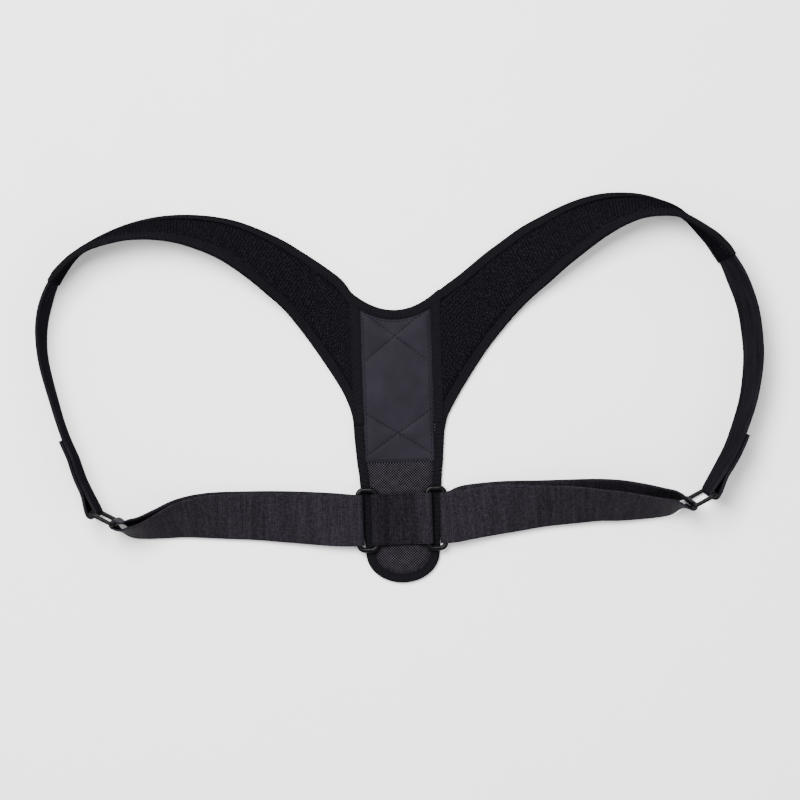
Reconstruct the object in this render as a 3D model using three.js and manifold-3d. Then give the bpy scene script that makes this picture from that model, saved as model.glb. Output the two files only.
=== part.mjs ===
// Posture corrector, laid down with its outer face up: a padded Y-shaped yoke lies flat,
// its two arm loops turn up on edge, and two doubled webbing straps come back to the tab.
// Millimetres. X runs to the wearer's right, Y up the spine, Z away from the floor.
// The origin is on the spine, on the underside of the back panel.
import * as THREE from "three";
import { mergeVertices } from "three/addons/utils/BufferGeometryUtils.js";
import Module from "manifold-3d";

// Yoke
const halfSpan = 262; // spine to the far side of an arm loop
const shoulderRise = 180; // origin up to the highest neck edge
const panelHalfWidth = 32.5; // spine to the seam between panel and pad
const seamFoot = 8; // lowest point of that seam
const neckRise = 99.6; // origin up to the lowest point of the neckline
const neckScoop = 13.9; // neckline at the seams above its lowest point
const tabDrop = 101.3; // origin down to the end of the tab
const padThickness = 4.6;
const padRamp = 3; // slope from the thin sewn edge to the full pad
const bandWidth = 40; // sewn end of a pad, from edge to edge

// Edge binding
const bindingTape = 0.8;
const bindingReach = 6;

// Patch on the panel
const patchInset = 6.9; // seam in to the patch's side edge
const patchTopInset = 6.3; // neckline down to the patch's top edge
const patchFoot = -12.7;
const patchThickness = 1.2;
const patchCorner = 2;

// Straps and webbing
const webbingWidth = 38;
const webbingThickness = 1.6;
const strapThickness = 2.4;
const tailLengthLeft = 58; // free end folded back outside the strap
const tailLengthRight = 50;
const tailEasing = 18; // length over which the free end comes to lie on the strap
const webbingDrop = 54.8; // origin down to the middle of the webbing at the tab

// Plastic loops on the tab
const loopOuterWidth = 17;
const loopBar = 4;
const loopInset = 6.9; // seam line in to the middle of a loop
const loopEndClearance = 1.25;
const loopCorner = 4;

// Plastic rings between strap and webbing
const ringBar = 3.2;
const ringGap = 15; // between the two bars
const ringEndClearance = 0.75;
const ringCorner = 2.4;

const fit = 0.3; // clearance between neighbouring pieces
const seatFit = 0.5; // clearance of a sewn edge inside its folded binding
const tapeChamfer = 0.35;

const up = new THREE.Vector3(0, 0, 1);
const patchHalfWidth = panelHalfWidth - patchInset;
const seatThickness = padThickness - 2 * (bindingTape + seatFit);
const middleHeight = padThickness / 2;
const hem = bindingTape + fit; // binding outside a sewn edge
const loopTurn = loopBar / 2 + fit + webbingThickness / 2;
const ringTurn = ringBar / 2 + fit + webbingThickness / 2;
const strapTurn = ringBar / 2 + fit + strapThickness / 2;
const bandBase = padThickness + fit + webbingThickness / 2; // cross band's lower layer
const loopHeight = bandBase + loopTurn;
const loopMiddle = panelHalfWidth - loopInset;
const loopBarInner = loopMiddle - (loopOuterWidth - loopBar) / 2;
const loopBarOuter = loopMiddle + (loopOuterWidth - loopBar) / 2;

// Pad sections from the seam outward. neck and hole are the two sewn edges in plan,
// x as shares of halfSpan and y of shoulderRise, stretched so that they start at the seam;
// rise is how far the armhole edge stands above the neck edge, as a share of bandWidth.
const seamShares = { x: 0.124, neckY: 0.6306, holeY: 0.0444 };
const padLeft = [
  { neckX: 0.131, neckY: 0.644, holeX: 0.128, holeY: 0.128, rise: 0 },
  { neckX: 0.143, neckY: 0.672, holeX: 0.153, holeY: 0.23, rise: 0 },
  { neckX: 0.162, neckY: 0.701, holeX: 0.205, holeY: 0.358, rise: 0.01 },
  { neckX: 0.189, neckY: 0.732, holeX: 0.255, holeY: 0.469, rise: 0.08 },
  { neckX: 0.22, neckY: 0.765, holeX: 0.309, holeY: 0.574, rise: 0.25 },
  { neckX: 0.27, neckY: 0.814, holeX: 0.358, holeY: 0.643, rise: 0.44 },
  { neckX: 0.326, neckY: 0.864, holeX: 0.405, holeY: 0.705, rise: 0.6 },
  { neckX: 0.436, neckY: 0.935, holeX: 0.478, holeY: 0.785, rise: 0.78 },
  { neckX: 0.547, neckY: 0.967, holeX: 0.56, holeY: 0.842, rise: 0.865 },
  { neckX: 0.657, neckY: 0.967, holeX: 0.643, holeY: 0.875, rise: 0.915 },
  { neckX: 0.765, neckY: 0.933, holeX: 0.748, holeY: 0.88, rise: 0.967 },
  { neckX: 0.87, neckY: 0.863, holeX: 0.859, holeY: 0.841, rise: 0.985 },
  { neckX: 0.924, neckY: 0.787, holeX: 0.92, holeY: 0.782, rise: 0.995 },
  { neckX: 0.956, neckY: 0.709, holeX: 0.961, holeY: 0.713, rise: 0.995 },
];
const padRight = [
  { neckX: 0.133, neckY: 0.635, holeX: 0.135, holeY: 0.112, rise: 0 },
  { neckX: 0.15, neckY: 0.653, holeX: 0.161, holeY: 0.183, rise: 0 },
  { neckX: 0.182, neckY: 0.685, holeX: 0.197, holeY: 0.266, rise: 0 },
  { neckX: 0.218, neckY: 0.725, holeX: 0.256, holeY: 0.389, rise: 0.01 },
  { neckX: 0.26, neckY: 0.773, holeX: 0.326, holeY: 0.509, rise: 0.07 },
  { neckX: 0.307, neckY: 0.82, holeX: 0.384, holeY: 0.592, rise: 0.19 },
  { neckX: 0.365, neckY: 0.876, holeX: 0.437, holeY: 0.655, rise: 0.35 },
  { neckX: 0.424, neckY: 0.919, holeX: 0.483, holeY: 0.713, rise: 0.5 },
  { neckX: 0.481, neckY: 0.957, holeX: 0.529, holeY: 0.764, rise: 0.62 },
  { neckX: 0.539, neckY: 0.986, holeX: 0.574, holeY: 0.812, rise: 0.72 },
  { neckX: 0.595, neckY: 1.002, holeX: 0.613, holeY: 0.848, rise: 0.8 },
  { neckX: 0.65, neckY: 1.004, holeX: 0.656, holeY: 0.88, rise: 0.86 },
  { neckX: 0.706, neckY: 0.995, holeX: 0.701, holeY: 0.902, rise: 0.92 },
  { neckX: 0.76, neckY: 0.97, holeX: 0.748, holeY: 0.909, rise: 0.96 },
  { neckX: 0.817, neckY: 0.929, holeX: 0.807, holeY: 0.899, rise: 0.98 },
  { neckX: 0.874, neckY: 0.834, holeX: 0.88, holeY: 0.837, rise: 0.995 },
  { neckX: 0.903, neckY: 0.777, holeX: 0.917, holeY: 0.793, rise: 0.99 },
  { neckX: 0.927, neckY: 0.712, holeX: 0.951, holeY: 0.731, rise: 0.985 },
];

// Strap sections from the joint to the ring. out is a share of halfSpan, down a share of
// the way from the joint's y to the ring bar's y, lean how far the upper edge stands
// outside the lower edge and lift how far the lower edge is carried up to the ring,
// shares of webbingWidth and of the ring's seat.
const strapLeft = [
  { out: 0.981, down: 0.084, lean: 0.08, lift: 0 },
  { out: 0.994, down: 0.165, lean: 0.07, lift: 0 },
  { out: 0.998, down: 0.248, lean: 0.05, lift: 0 },
  { out: 0.994, down: 0.333, lean: 0.03, lift: 0 },
  { out: 0.983, down: 0.419, lean: 0.02, lift: 0 },
  { out: 0.969, down: 0.505, lean: 0.01, lift: 0 },
  { out: 0.954, down: 0.594, lean: 0, lift: 0 },
  { out: 0.936, down: 0.68, lean: 0, lift: 0.05 },
  { out: 0.914, down: 0.762, lean: 0, lift: 0.2 },
  { out: 0.895, down: 0.854, lean: 0.01, lift: 0.55 },
];
const strapRight = [
  { out: 0.963, down: 0.077, lean: 0.25, lift: 0 },
  { out: 0.983, down: 0.16, lean: 0.26, lift: 0 },
  { out: 0.996, down: 0.243, lean: 0.26, lift: 0 },
  { out: 1.003, down: 0.356, lean: 0.25, lift: 0 },
  { out: 1.003, down: 0.44, lean: 0.24, lift: 0 },
  { out: 0.996, down: 0.525, lean: 0.22, lift: 0 },
  { out: 0.985, down: 0.607, lean: 0.2, lift: 0 },
  { out: 0.968, down: 0.689, lean: 0.18, lift: 0.05 },
  { out: 0.938, down: 0.803, lean: 0.16, lift: 0.3 },
  { out: 0.906, down: 0.89, lean: 0.14, lift: 0.65 },
];

// Ring placing: middle in plan as shares of halfSpan and webbingDrop, turn is the way
// from the webbing bar to the strap bar above the X axis, lean the tilt outward.
const ringLeft = { out: 0.834, down: 0.84, turn: 28.6, lean: 1 };
const ringRight = { out: 0.841, down: 0.83, turn: 26.8, lean: 5 };

// Webbing sections from the tab's loop to the ring. along is a share of the way between
// the two bars, drop a share of webbingDrop, roll the tilt of the width in degrees, split
// the distance from the middle to each layer, skew how far the rear layer lies off to the
// tab's upper side and tab and ring how far each end lifts it.
const webbingLeft = [
  { along: 0.04, drop: 1, roll: 0, split: 3.1, skew: 0.6, tab: 1, ring: 0 },
  { along: 0.1, drop: 0.99, roll: 2, split: 2.6, skew: 1.2, tab: 0.85, ring: 0 },
  { along: 0.24, drop: 0.943, roll: 9, split: 1.9, skew: 0.8, tab: 0.4, ring: 0 },
  { along: 0.4, drop: 0.895, roll: 20, split: 1.7, skew: 0.2, tab: 0.1, ring: 0 },
  { along: 0.57, drop: 0.868, roll: 28, split: 1.7, skew: 0, tab: 0, ring: 0 },
  { along: 0.655, drop: 0.866, roll: 35, split: 1.7, skew: 0, tab: 0, ring: 0 },
  { along: 0.735, drop: 0.888, roll: 45, split: 1.8, skew: 0, tab: 0, ring: 0.02 },
  { along: 0.817, drop: 0.947, roll: 59, split: 2.1, skew: 0, tab: 0, ring: 0.1 },
  { along: 0.9, drop: 0.996, roll: 72, split: 2.7, skew: 0, tab: 0, ring: 0.4 },
  { along: 0.965, drop: 0.985, roll: 78, split: 3, skew: 0, tab: 0, ring: 0.85 },
];
const webbingRight = [
  { along: 0.04, drop: 0.99, roll: 0, split: 3.1, skew: 0.8, tab: 1, ring: 0 },
  { along: 0.1, drop: 0.955, roll: 6, split: 2.8, skew: 2.4, tab: 0.8, ring: 0 },
  { along: 0.228, drop: 0.9, roll: 14, split: 2.4, skew: 1.4, tab: 0.4, ring: 0 },
  { along: 0.39, drop: 0.855, roll: 33, split: 2.8, skew: 0.4, tab: 0.1, ring: 0 },
  { along: 0.555, drop: 0.829, roll: 44, split: 4, skew: 0, tab: 0, ring: 0 },
  { along: 0.64, drop: 0.824, roll: 51, split: 4.8, skew: 0, tab: 0, ring: 0 },
  { along: 0.72, drop: 0.839, roll: 54, split: 5, skew: 0, tab: 0, ring: 0 },
  { along: 0.8, drop: 0.86, roll: 60, split: 4.7, skew: 0, tab: 0, ring: 0.05 },
  { along: 0.883, drop: 0.884, roll: 67, split: 4.2, skew: 0, tab: 0, ring: 0.25 },
  { along: 0.95, drop: 0.892, roll: 74, split: 3.5, skew: 0, tab: 0, ring: 0.7 },
];

// Tab's side edge below the seam: down is a share of tabDrop, half of panelHalfWidth.
const tabSide = [
  { down: -0.079, half: 1 },
  { down: 0.12, half: 0.951 },
  { down: 0.26, half: 0.905 },
  { down: 0.59, half: 0.855 },
  { down: 0.79, half: 0.809 },
];

// Cross band's upper layer: across is a share of the bars' distance from the spine,
// press how far the sewn middle is pressed down on the lower layer.
const bandPress = [
  { across: -1, press: 0 },
  { across: -0.78, press: 0.22 },
  { across: -0.5, press: 0.88 },
  { across: -0.2, press: 1 },
  { across: 0.3, press: 1 },
  { across: 0.52, press: 0.92 },
  { across: 0.78, press: 0.28 },
  { across: 1, press: 0 },
];

// A smooth run through the rows of a table, every column carried alike.
function smooth(rows, steps) {
  const keys = Object.keys(rows[0]);
  const out = [];
  const before = (a, b) => 2 * a - b;
  for (let i = 0; i < rows.length - 1; i++) {
    for (let s = 0; s < steps; s++) {
      const t = s / steps;
      const row = {};
      for (const key of keys) {
        const b = rows[i][key];
        const c = rows[i + 1][key];
        const a = i > 0 ? rows[i - 1][key] : before(b, c);
        const d = i < rows.length - 2 ? rows[i + 2][key] : before(c, b);
        const bend = 2 * a - 5 * b + 4 * c - d;
        row[key] = 0.5 * (2 * b + (c - a) * t + bend * t * t + (3 * b - a - 3 * c + d) * t ** 3);
      }
      out.push(row);
    }
  }
  out.push({ ...rows.at(-1) });
  return out;
}

// Height of the neckline between the seams.
function necklineAt(x) {
  return neckRise + neckScoop * (x / panelHalfWidth) ** 2;
}

function vector(x, y, z) {
  return new THREE.Vector3(x, y, z);
}

function along(start, ...moves) {
  const point = start.clone();
  for (const [direction, length] of moves) {
    point.addScaledVector(direction, length);
  }
  return point;
}

// Direction of travel at each point of a path.
function tangents(points, closed = false) {
  const count = points.length;
  return points.map((_, i) => {
    const next = closed ? points[(i + 1) % count] : points[Math.min(i + 1, count - 1)];
    const last = closed ? points[(i + count - 1) % count] : points[Math.max(i - 1, 0)];
    return next.clone().sub(last).normalize();
  });
}

// One closed body through a row of sections with equal point counts.
function skin(sections, outline, closed = false) {
  const count = outline.length;
  const faces = [];
  const spans = closed ? sections.length : sections.length - 1;
  for (let i = 0; i < spans; i++) {
    const a = i * count;
    const b = ((i + 1) % sections.length) * count;
    for (let k = 0; k < count; k++) {
      const l = (k + 1) % count;
      // a band's two faces take the same diagonal, so it keeps its thickness where it twists
      if (outline[l].x > outline[k].x) {
        faces.push(a + k, b + k, a + l, b + k, b + l, a + l);
      } else {
        faces.push(a + k, b + k, b + l, a + k, b + l, a + l);
      }
    }
  }
  if (!closed) {
    const turn = Math.sign(THREE.ShapeUtils.area(outline));
    const end = (sections.length - 1) * count;
    for (const [i, j, k] of THREE.ShapeUtils.triangulateShape(outline, [])) {
      const same = Math.sign(THREE.ShapeUtils.area([outline[i], outline[j], outline[k]])) === turn;
      const [p, q, r] = same ? [i, j, k] : [i, k, j];
      faces.push(p, q, r, end + p, end + r, end + q);
    }
  }
  const points = sections.flat();
  let volume = 0;
  for (let f = 0; f < faces.length; f += 3) {
    const cross = points[faces[f + 1]].clone().cross(points[faces[f + 2]]);
    volume += points[faces[f]].dot(cross);
  }
  if (volume < 0) {
    faces.reverse();
  }
  const geometry = new THREE.BufferGeometry().setFromPoints(points);
  geometry.setIndex(faces);
  geometry.computeVertexNormals();
  return geometry;
}

// A section outline laid at a station: a runs across, b through the thickness.
function lay(outline, station) {
  return outline.map((p) => along(station.point, [station.across, p.x], [station.through, p.y]));
}

// Woven tape: flat, with its long corners taken off.
function tapeOutline(width, thickness) {
  const w = width / 2;
  const t = thickness / 2;
  const c = tapeChamfer;
  return [
    [w, t - c],
    [w - c, t],
    [c - w, t],
    [-w, t - c],
    [-w, c - t],
    [c - w, -t],
    [w - c, -t],
    [w, c - t],
  ].map(([x, y]) => new THREE.Vector2(x, y));
}

// Where a pad is sewn into its binding it is thin, between the seats it is full.
function padOutline(width, neckSeat, holeSeat) {
  const thin = seatThickness / 2;
  const full = padThickness / 2;
  const upper = [
    [0, thin],
    [neckSeat, thin],
    [neckSeat + padRamp, full],
    [width - holeSeat - padRamp, full],
    [width - holeSeat, thin],
    [width, thin],
  ];
  const lower = upper.map(([x, y]) => [x, -y]).reverse();
  return [...upper, ...lower].map(([x, y]) => new THREE.Vector2(x, y));
}

// Binding folded over an edge: a U of tape, open toward the piece it holds.
function bindingOutline() {
  const inner = seatThickness / 2 + seatFit;
  const outer = inner + bindingTape;
  const round = bindingTape;
  return [
    [bindingReach, outer],
    [round - hem, outer],
    [-hem, outer - round],
    [-hem, round - outer],
    [round - hem, -outer],
    [bindingReach, -outer],
    [bindingReach, -inner],
    [-fit, -inner],
    [-fit, inner],
    [bindingReach, inner],
  ].map(([x, y]) => new THREE.Vector2(x, y));
}

// The point of a stretched table: share at the seam gives near, 1 gives far.
function fromSeam(share, seam, near, far) {
  return near + ((share - seam) / (1 - seam)) * (far - near);
}

// Edge heights of a pad section: a standing edge rests on its binding.
function padRow(side, row) {
  const across = (share) => side * fromSeam(share, seamShares.x, panelHalfWidth, halfSpan);
  const neckY = fromSeam(row.neckY, seamShares.neckY, necklineAt(panelHalfWidth), shoulderRise);
  const holeY = fromSeam(row.holeY, seamShares.holeY, seamFoot, shoulderRise);
  const neck = vector(across(row.neckX), neckY, 0);
  const hole = vector(across(row.holeX), holeY, 0);
  const rise = row.rise * bandWidth;
  const flat = neck.distanceTo(hole);
  neck.z = hem + ((middleHeight - hem) * flat) / Math.hypot(flat, rise);
  hole.z = neck.z + rise;
  return { neck, hole };
}

function seamRow(side) {
  return {
    neck: vector(side * panelHalfWidth, necklineAt(panelHalfWidth), middleHeight),
    hole: vector(side * panelHalfWidth, seamFoot, middleHeight),
  };
}

function ringFrame(side, ring) {
  const angle = THREE.MathUtils.degToRad(ring.turn);
  const lean = THREE.MathUtils.degToRad(ring.lean);
  const run = vector(side * Math.cos(angle), Math.sin(angle), 0);
  const outward = vector(side * Math.sin(angle), -Math.cos(angle), 0);
  const rise = along(outward.clone().multiplyScalar(Math.sin(lean)), [up, Math.cos(lean)]);
  const halfLength = webbingWidth / 2 + ringEndClearance + ringBar / 2;
  const middle = vector(side * ring.out * halfSpan, -ring.down * webbingDrop, 0);
  middle.z = halfLength * Math.cos(lean) + ringBar / 2;
  const halfRun = (ringGap + ringBar) / 2;
  return {
    run,
    rise,
    middle,
    halfRun,
    halfLength,
    strapBar: along(middle, [run, halfRun]),
    webbingBar: along(middle, [run, -halfRun]),
  };
}

// Rows of the strap from the joint down to the ring's bar, as edge pairs.
function strapRows(side, joint, frame, table) {
  const start = joint.neck.clone().add(joint.hole).multiplyScalar(0.5);
  const seat = frame.middle.z - start.z;
  const middles = table.map((row) => {
    const y = start.y + row.down * (frame.strapBar.y - start.y);
    return vector(side * row.out * halfSpan, y, start.z + row.lift * seat);
  });
  const travel = tangents([start, ...middles, frame.strapBar]);
  return table.map((row, i) => {
    const outward = travel[i + 1].clone().cross(up).setZ(0).normalize();
    outward.multiplyScalar(Math.sign(outward.x * side));
    const tilt = Math.asin(row.lean);
    const half = webbingWidth / 2;
    const rise = along(outward.multiplyScalar(Math.sin(tilt)), [up, Math.cos(tilt)]);
    return { neck: along(middles[i], [rise, -half]), hole: along(middles[i], [rise, half]) };
  });
}

// Lowers or raises each section until the binding of its lower edge rests on the floor.
function settle(stations, travels, side) {
  const outline = bindingOutline();
  stations.forEach((station, i) => {
    const across = station.neckThrough.clone().cross(travels[i]).normalize().multiplyScalar(-side);
    const section = lay(outline, { point: station.neck, across, through: station.neckThrough });
    const low = Math.min(...section.map((p) => p.z));
    for (const point of [station.neck, station.hole, station.point]) {
      point.z -= low;
    }
  });
}

// The whole run of one side: pad, joint, strap and the strap's arrival at the ring bar.
function armRun(side, padTable, strapTable, frame) {
  const pads = [seamRow(side), ...padTable.map((row) => padRow(side, row))];
  const straps = strapRows(side, pads.at(-1), frame, strapTable);
  const last = straps.at(-1);
  const lastMiddle = last.neck.clone().add(last.hole).multiplyScalar(0.5);
  const travel = frame.strapBar.clone().sub(lastMiddle);
  travel.addScaledVector(frame.rise, -travel.dot(frame.rise)).normalize();
  const inward = frame.rise.clone().cross(travel).normalize();
  inward.multiplyScalar(-side * Math.sign(inward.x));
  const end = along(frame.strapBar, [inward, strapTurn]);
  const half = webbingWidth / 2;
  const endRow = { neck: along(end, [frame.rise, -half]), hole: along(end, [frame.rise, half]) };
  const flat = (row) => ({
    nx: row.neck.x,
    ny: row.neck.y,
    nz: row.neck.z,
    hx: row.hole.x,
    hy: row.hole.y,
    hz: row.hole.z,
  });
  const padSteps = 2;
  const rows = smooth([...pads, ...straps, endRow].map(flat), padSteps);
  const stations = rows.map((r) => ({ neck: vector(r.nx, r.ny, r.nz), hole: vector(r.hx, r.hy, r.hz) }));
  const middles = stations.map((s) => s.neck.clone().add(s.hole).multiplyScalar(0.5));
  const travels = tangents(middles);
  const shallow = 0.35; // an edge running almost along its section takes the middle's normal
  const neckTravels = tangents(stations.map((s) => s.neck));
  const holeTravels = tangents(stations.map((s) => s.hole));
  stations.forEach((station, i) => {
    station.point = middles[i];
    station.travel = travels[i];
    station.across = station.hole.clone().sub(station.neck).normalize();
    station.through = travels[i].clone().cross(station.across).normalize().multiplyScalar(-side);
    const normal = (direction) => {
      const cross = direction.clone().cross(station.across).multiplyScalar(-side);
      return cross.length() > shallow ? cross.normalize() : station.through.clone();
    };
    station.neckThrough = normal(neckTravels[i]);
    station.holeThrough = normal(holeTravels[i]);
  });
  const jointAt = (pads.length - 1) * padSteps;
  settle(stations.slice(0, jointAt + 1), neckTravels, side);
  return { side, stations, jointAt, travel, inward };
}

// How far along a pad's section the binding of one edge reaches.
function seatLength(start, direction, edge) {
  const step = 0.25;
  const line = new THREE.Line3();
  const nearest = new THREE.Vector3();
  const clear = (point) =>
    edge.every((corner, i) => {
      line.set(corner, edge[Math.min(i + 1, edge.length - 1)]);
      return line.closestPointToPoint(point, true, nearest).distanceTo(point) > bindingReach + fit;
    });
  let length = bindingReach + fit;
  while (!clear(along(start, [direction, length]))) {
    length += step;
  }
  return length;
}

// A pad's sections start just outside the seam and end at the joint.
function padGeometry(run) {
  const stations = run.stations.slice(0, run.jointAt + 1);
  const neckEdgeLine = stations.map((s) => s.neck);
  const holeEdgeLine = stations.map((s) => s.hole);
  const outlines = stations.map((s) => {
    const inward = s.across.clone().negate();
    const neckSeat = seatLength(s.neck, s.across, neckEdgeLine);
    const holeSeat = seatLength(s.hole, inward, holeEdgeLine);
    return padOutline(s.neck.distanceTo(s.hole), neckSeat, holeSeat);
  });
  const sections = stations.map((s, i) => {
    const start = s.neck.clone();
    if (i === 0) {
      start.x += (run.side * fit) / 2;
    }
    const nearHole = s.neck.distanceTo(s.hole) / 2;
    return outlines[i].map((p) => {
      const through = p.x > nearHole ? s.holeThrough : s.neckThrough;
      return along(start, [s.across, p.x], [through, p.y]);
    });
  });
  return skin(sections, outlines[0]);
}

function neckEdge(runs) {
  const [left, right] = runs.map((run) => run.stations.slice(0, run.jointAt + 1));
  const middle = [];
  const pieces = 12;
  for (let i = 1; i < pieces; i++) {
    const x = (-1 + (2 * i) / pieces) * panelHalfWidth;
    middle.push({ point: vector(x, necklineAt(x), middleHeight), through: up });
  }
  const pick = (s) => ({ point: s.neck, through: s.neckThrough });
  return [...left.map(pick).reverse(), ...middle, ...right.map(pick)];
}

// Right-hand side edge of the tab, from the seam's foot to the middle of its end.
function tabEdge() {
  const side = smooth(tabSide, 3).map((row) => [row.half * panelHalfWidth, -row.down * tabDrop]);
  side[0][1] = seamFoot;
  const [halfEnd, endTop] = side.at(-1);
  const pieces = 9;
  for (let i = 1; i <= pieces; i++) {
    const angle = (i / pieces) * (Math.PI / 2);
    const fall = (tabDrop + endTop) * Math.sin(angle);
    side.push([halfEnd * Math.cos(angle), endTop - fall]);
  }
  return side;
}

function hemEdge(runs) {
  const [left, right] = runs.map((run) => run.stations.slice(0, run.jointAt + 1));
  const half = tabEdge();
  const place = (x, y) => ({ point: vector(x, y, middleHeight), through: up });
  const down = half.slice(1).map(([x, y]) => place(-x, y));
  const back = half.slice(1, -1).map(([x, y]) => place(x, y)).reverse();
  const pick = (s) => ({ point: s.hole, through: s.holeThrough });
  return [...left.map(pick).reverse(), ...down, ...back, ...right.map(pick)];
}

// A binding along an edge path; inward is the side of the path on which the piece lies.
function bindingGeometry(path, inward) {
  const outline = bindingOutline();
  const travel = tangents(path.map((s) => s.point));
  const sections = path.map((station, i) => {
    const across = station.through.clone().cross(travel[i]).normalize().multiplyScalar(inward);
    return lay(outline, { ...station, across });
  });
  return skin(sections, outline);
}

// An edge path moved into the panel and cut off at the two seams.
function insetPath(path, depth, inward, limit) {
  const travel = tangents(path.map((s) => s.point));
  const moved = path.map((s, i) => {
    const across = up.clone().cross(travel[i]).multiplyScalar(inward);
    return along(s.point, [across, depth]);
  });
  const kept = [];
  moved.forEach((point, i) => {
    const next = moved[i + 1];
    if (Math.abs(point.x) < limit) {
      kept.push([point.x, point.y]);
    }
    if (next && (Math.abs(point.x) < limit) !== (Math.abs(next.x) < limit)) {
      const edge = Math.sign(point.x + next.x) * limit;
      const share = (edge - point.x) / (next.x - point.x);
      kept.push([edge, point.y + share * (next.y - point.y)]);
    }
  });
  return kept;
}

function plate(points, base, thickness) {
  const shape = new THREE.Shape(points.map(([x, y]) => new THREE.Vector2(x, y)));
  const geometry = new THREE.ExtrudeGeometry(shape, { depth: thickness, bevelEnabled: false });
  return geometry.translate(0, 0, base);
}

const wasm = await Module();
wasm.setup();

function toSolid(geometry) {
  const bare = geometry.clone();
  bare.deleteAttribute("normal");
  bare.deleteAttribute("uv");
  const merged = mergeVertices(bare, 1e-4);
  return new wasm.Manifold(
    new wasm.Mesh({
      numProp: 3,
      vertProperties: merged.attributes.position.array,
      triVerts: new Uint32Array(merged.index.array),
    }),
  );
}

function fromSolid(solid) {
  const mesh = solid.getMesh();
  const geometry = new THREE.BufferGeometry();
  geometry.setAttribute("position", new THREE.BufferAttribute(mesh.vertProperties, 3));
  geometry.setIndex(new THREE.BufferAttribute(mesh.triVerts, 1));
  geometry.computeVertexNormals();
  return geometry;
}

// The panel between the seams: thin where its free edges are bound, full elsewhere.
function panelGeometry(runs) {
  const limit = panelHalfWidth - fit / 2;
  const neck = neckEdge(runs);
  const hemPath = hemEdge(runs);
  const outline = (depth) => [
    ...insetPath(neck, depth, -1, limit),
    ...insetPath(hemPath, depth, 1, limit).reverse(),
  ];
  const thin = plate(outline(0), middleHeight - seatThickness / 2, seatThickness);
  const full = plate(outline(bindingReach + fit), 0, padThickness);
  return fromSolid(toSolid(thin).add(toSolid(full)));
}

function patchGeometry() {
  const shape = new THREE.Shape();
  const x = patchHalfWidth;
  const c = patchCorner;
  shape.moveTo(c - x, patchFoot);
  shape.lineTo(x - c, patchFoot);
  shape.absarc(x - c, patchFoot + c, c, -Math.PI / 2, 0);
  const pieces = 10;
  for (let i = 0; i <= pieces; i++) {
    const at = x - (2 * x * i) / pieces;
    shape.lineTo(at, necklineAt(at) - patchTopInset);
  }
  shape.lineTo(-x, patchFoot + c);
  shape.absarc(c - x, patchFoot + c, c, Math.PI, 1.5 * Math.PI);
  const options = { depth: patchThickness, bevelEnabled: false, curveSegments: 3 };
  return new THREE.ExtrudeGeometry(shape, options).translate(0, 0, padThickness + fit);
}

// Half a turn round a bar, from the side of start to the far side, by way of ahead.
function turnRound(bar, start, ahead, across, radius) {
  const steps = 7;
  const stations = [];
  for (let i = 1; i < steps; i++) {
    const angle = (i / steps) * Math.PI;
    const through = along(vector(0, 0, 0), [start, Math.cos(angle)], [ahead, Math.sin(angle)]);
    stations.push({ point: along(bar, [through, radius]), across, through });
  }
  return stations;
}

// Strap from the joint to the ring, round its bar and back outside as a free end.
function strapGeometry(run, frame, tailLength) {
  const main = run.stations.slice(run.jointAt);
  const outline = tapeOutline(webbingWidth, strapThickness);
  const first = main[0];
  main[0] = { ...first, point: along(first.point, [first.travel, fit]) };
  const outside = (station) => (station.through.dot(run.inward) > 0 ? -1 : 1);
  const layer = main.map((s) => ({ ...s, through: s.through.clone().multiplyScalar(-outside(s)) }));
  const last = layer.at(-1);
  last.across = frame.rise;
  last.through = run.inward;
  const turn = turnRound(frame.strapBar, run.inward, run.travel, frame.rise, strapTurn);
  const tail = [];
  let walked = 0;
  const snug = strapThickness + fit;
  for (let i = layer.length - 1; i > 0 && walked < tailLength; i--) {
    const station = layer[i];
    const step = i === layer.length - 1 ? 0 : station.point.distanceTo(layer[i + 1].point);
    const left = tailLength - walked;
    const share = step > left ? left / step : 1;
    walked += step;
    const point = step > left ? layer[i + 1].point.clone().lerp(station.point, share) : station.point;
    const eased = Math.min(1, Math.min(walked, tailLength) / tailEasing);
    const apart = THREE.MathUtils.lerp(2 * strapTurn, snug, eased * eased * (3 - 2 * eased));
    const through = station.through.clone().negate();
    tail.push({ point: along(point, [through, apart]), across: station.across, through });
  }
  const sections = [...layer, ...turn, ...tail].map((s) => lay(outline, s));
  return skin(sections, outline);
}

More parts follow.
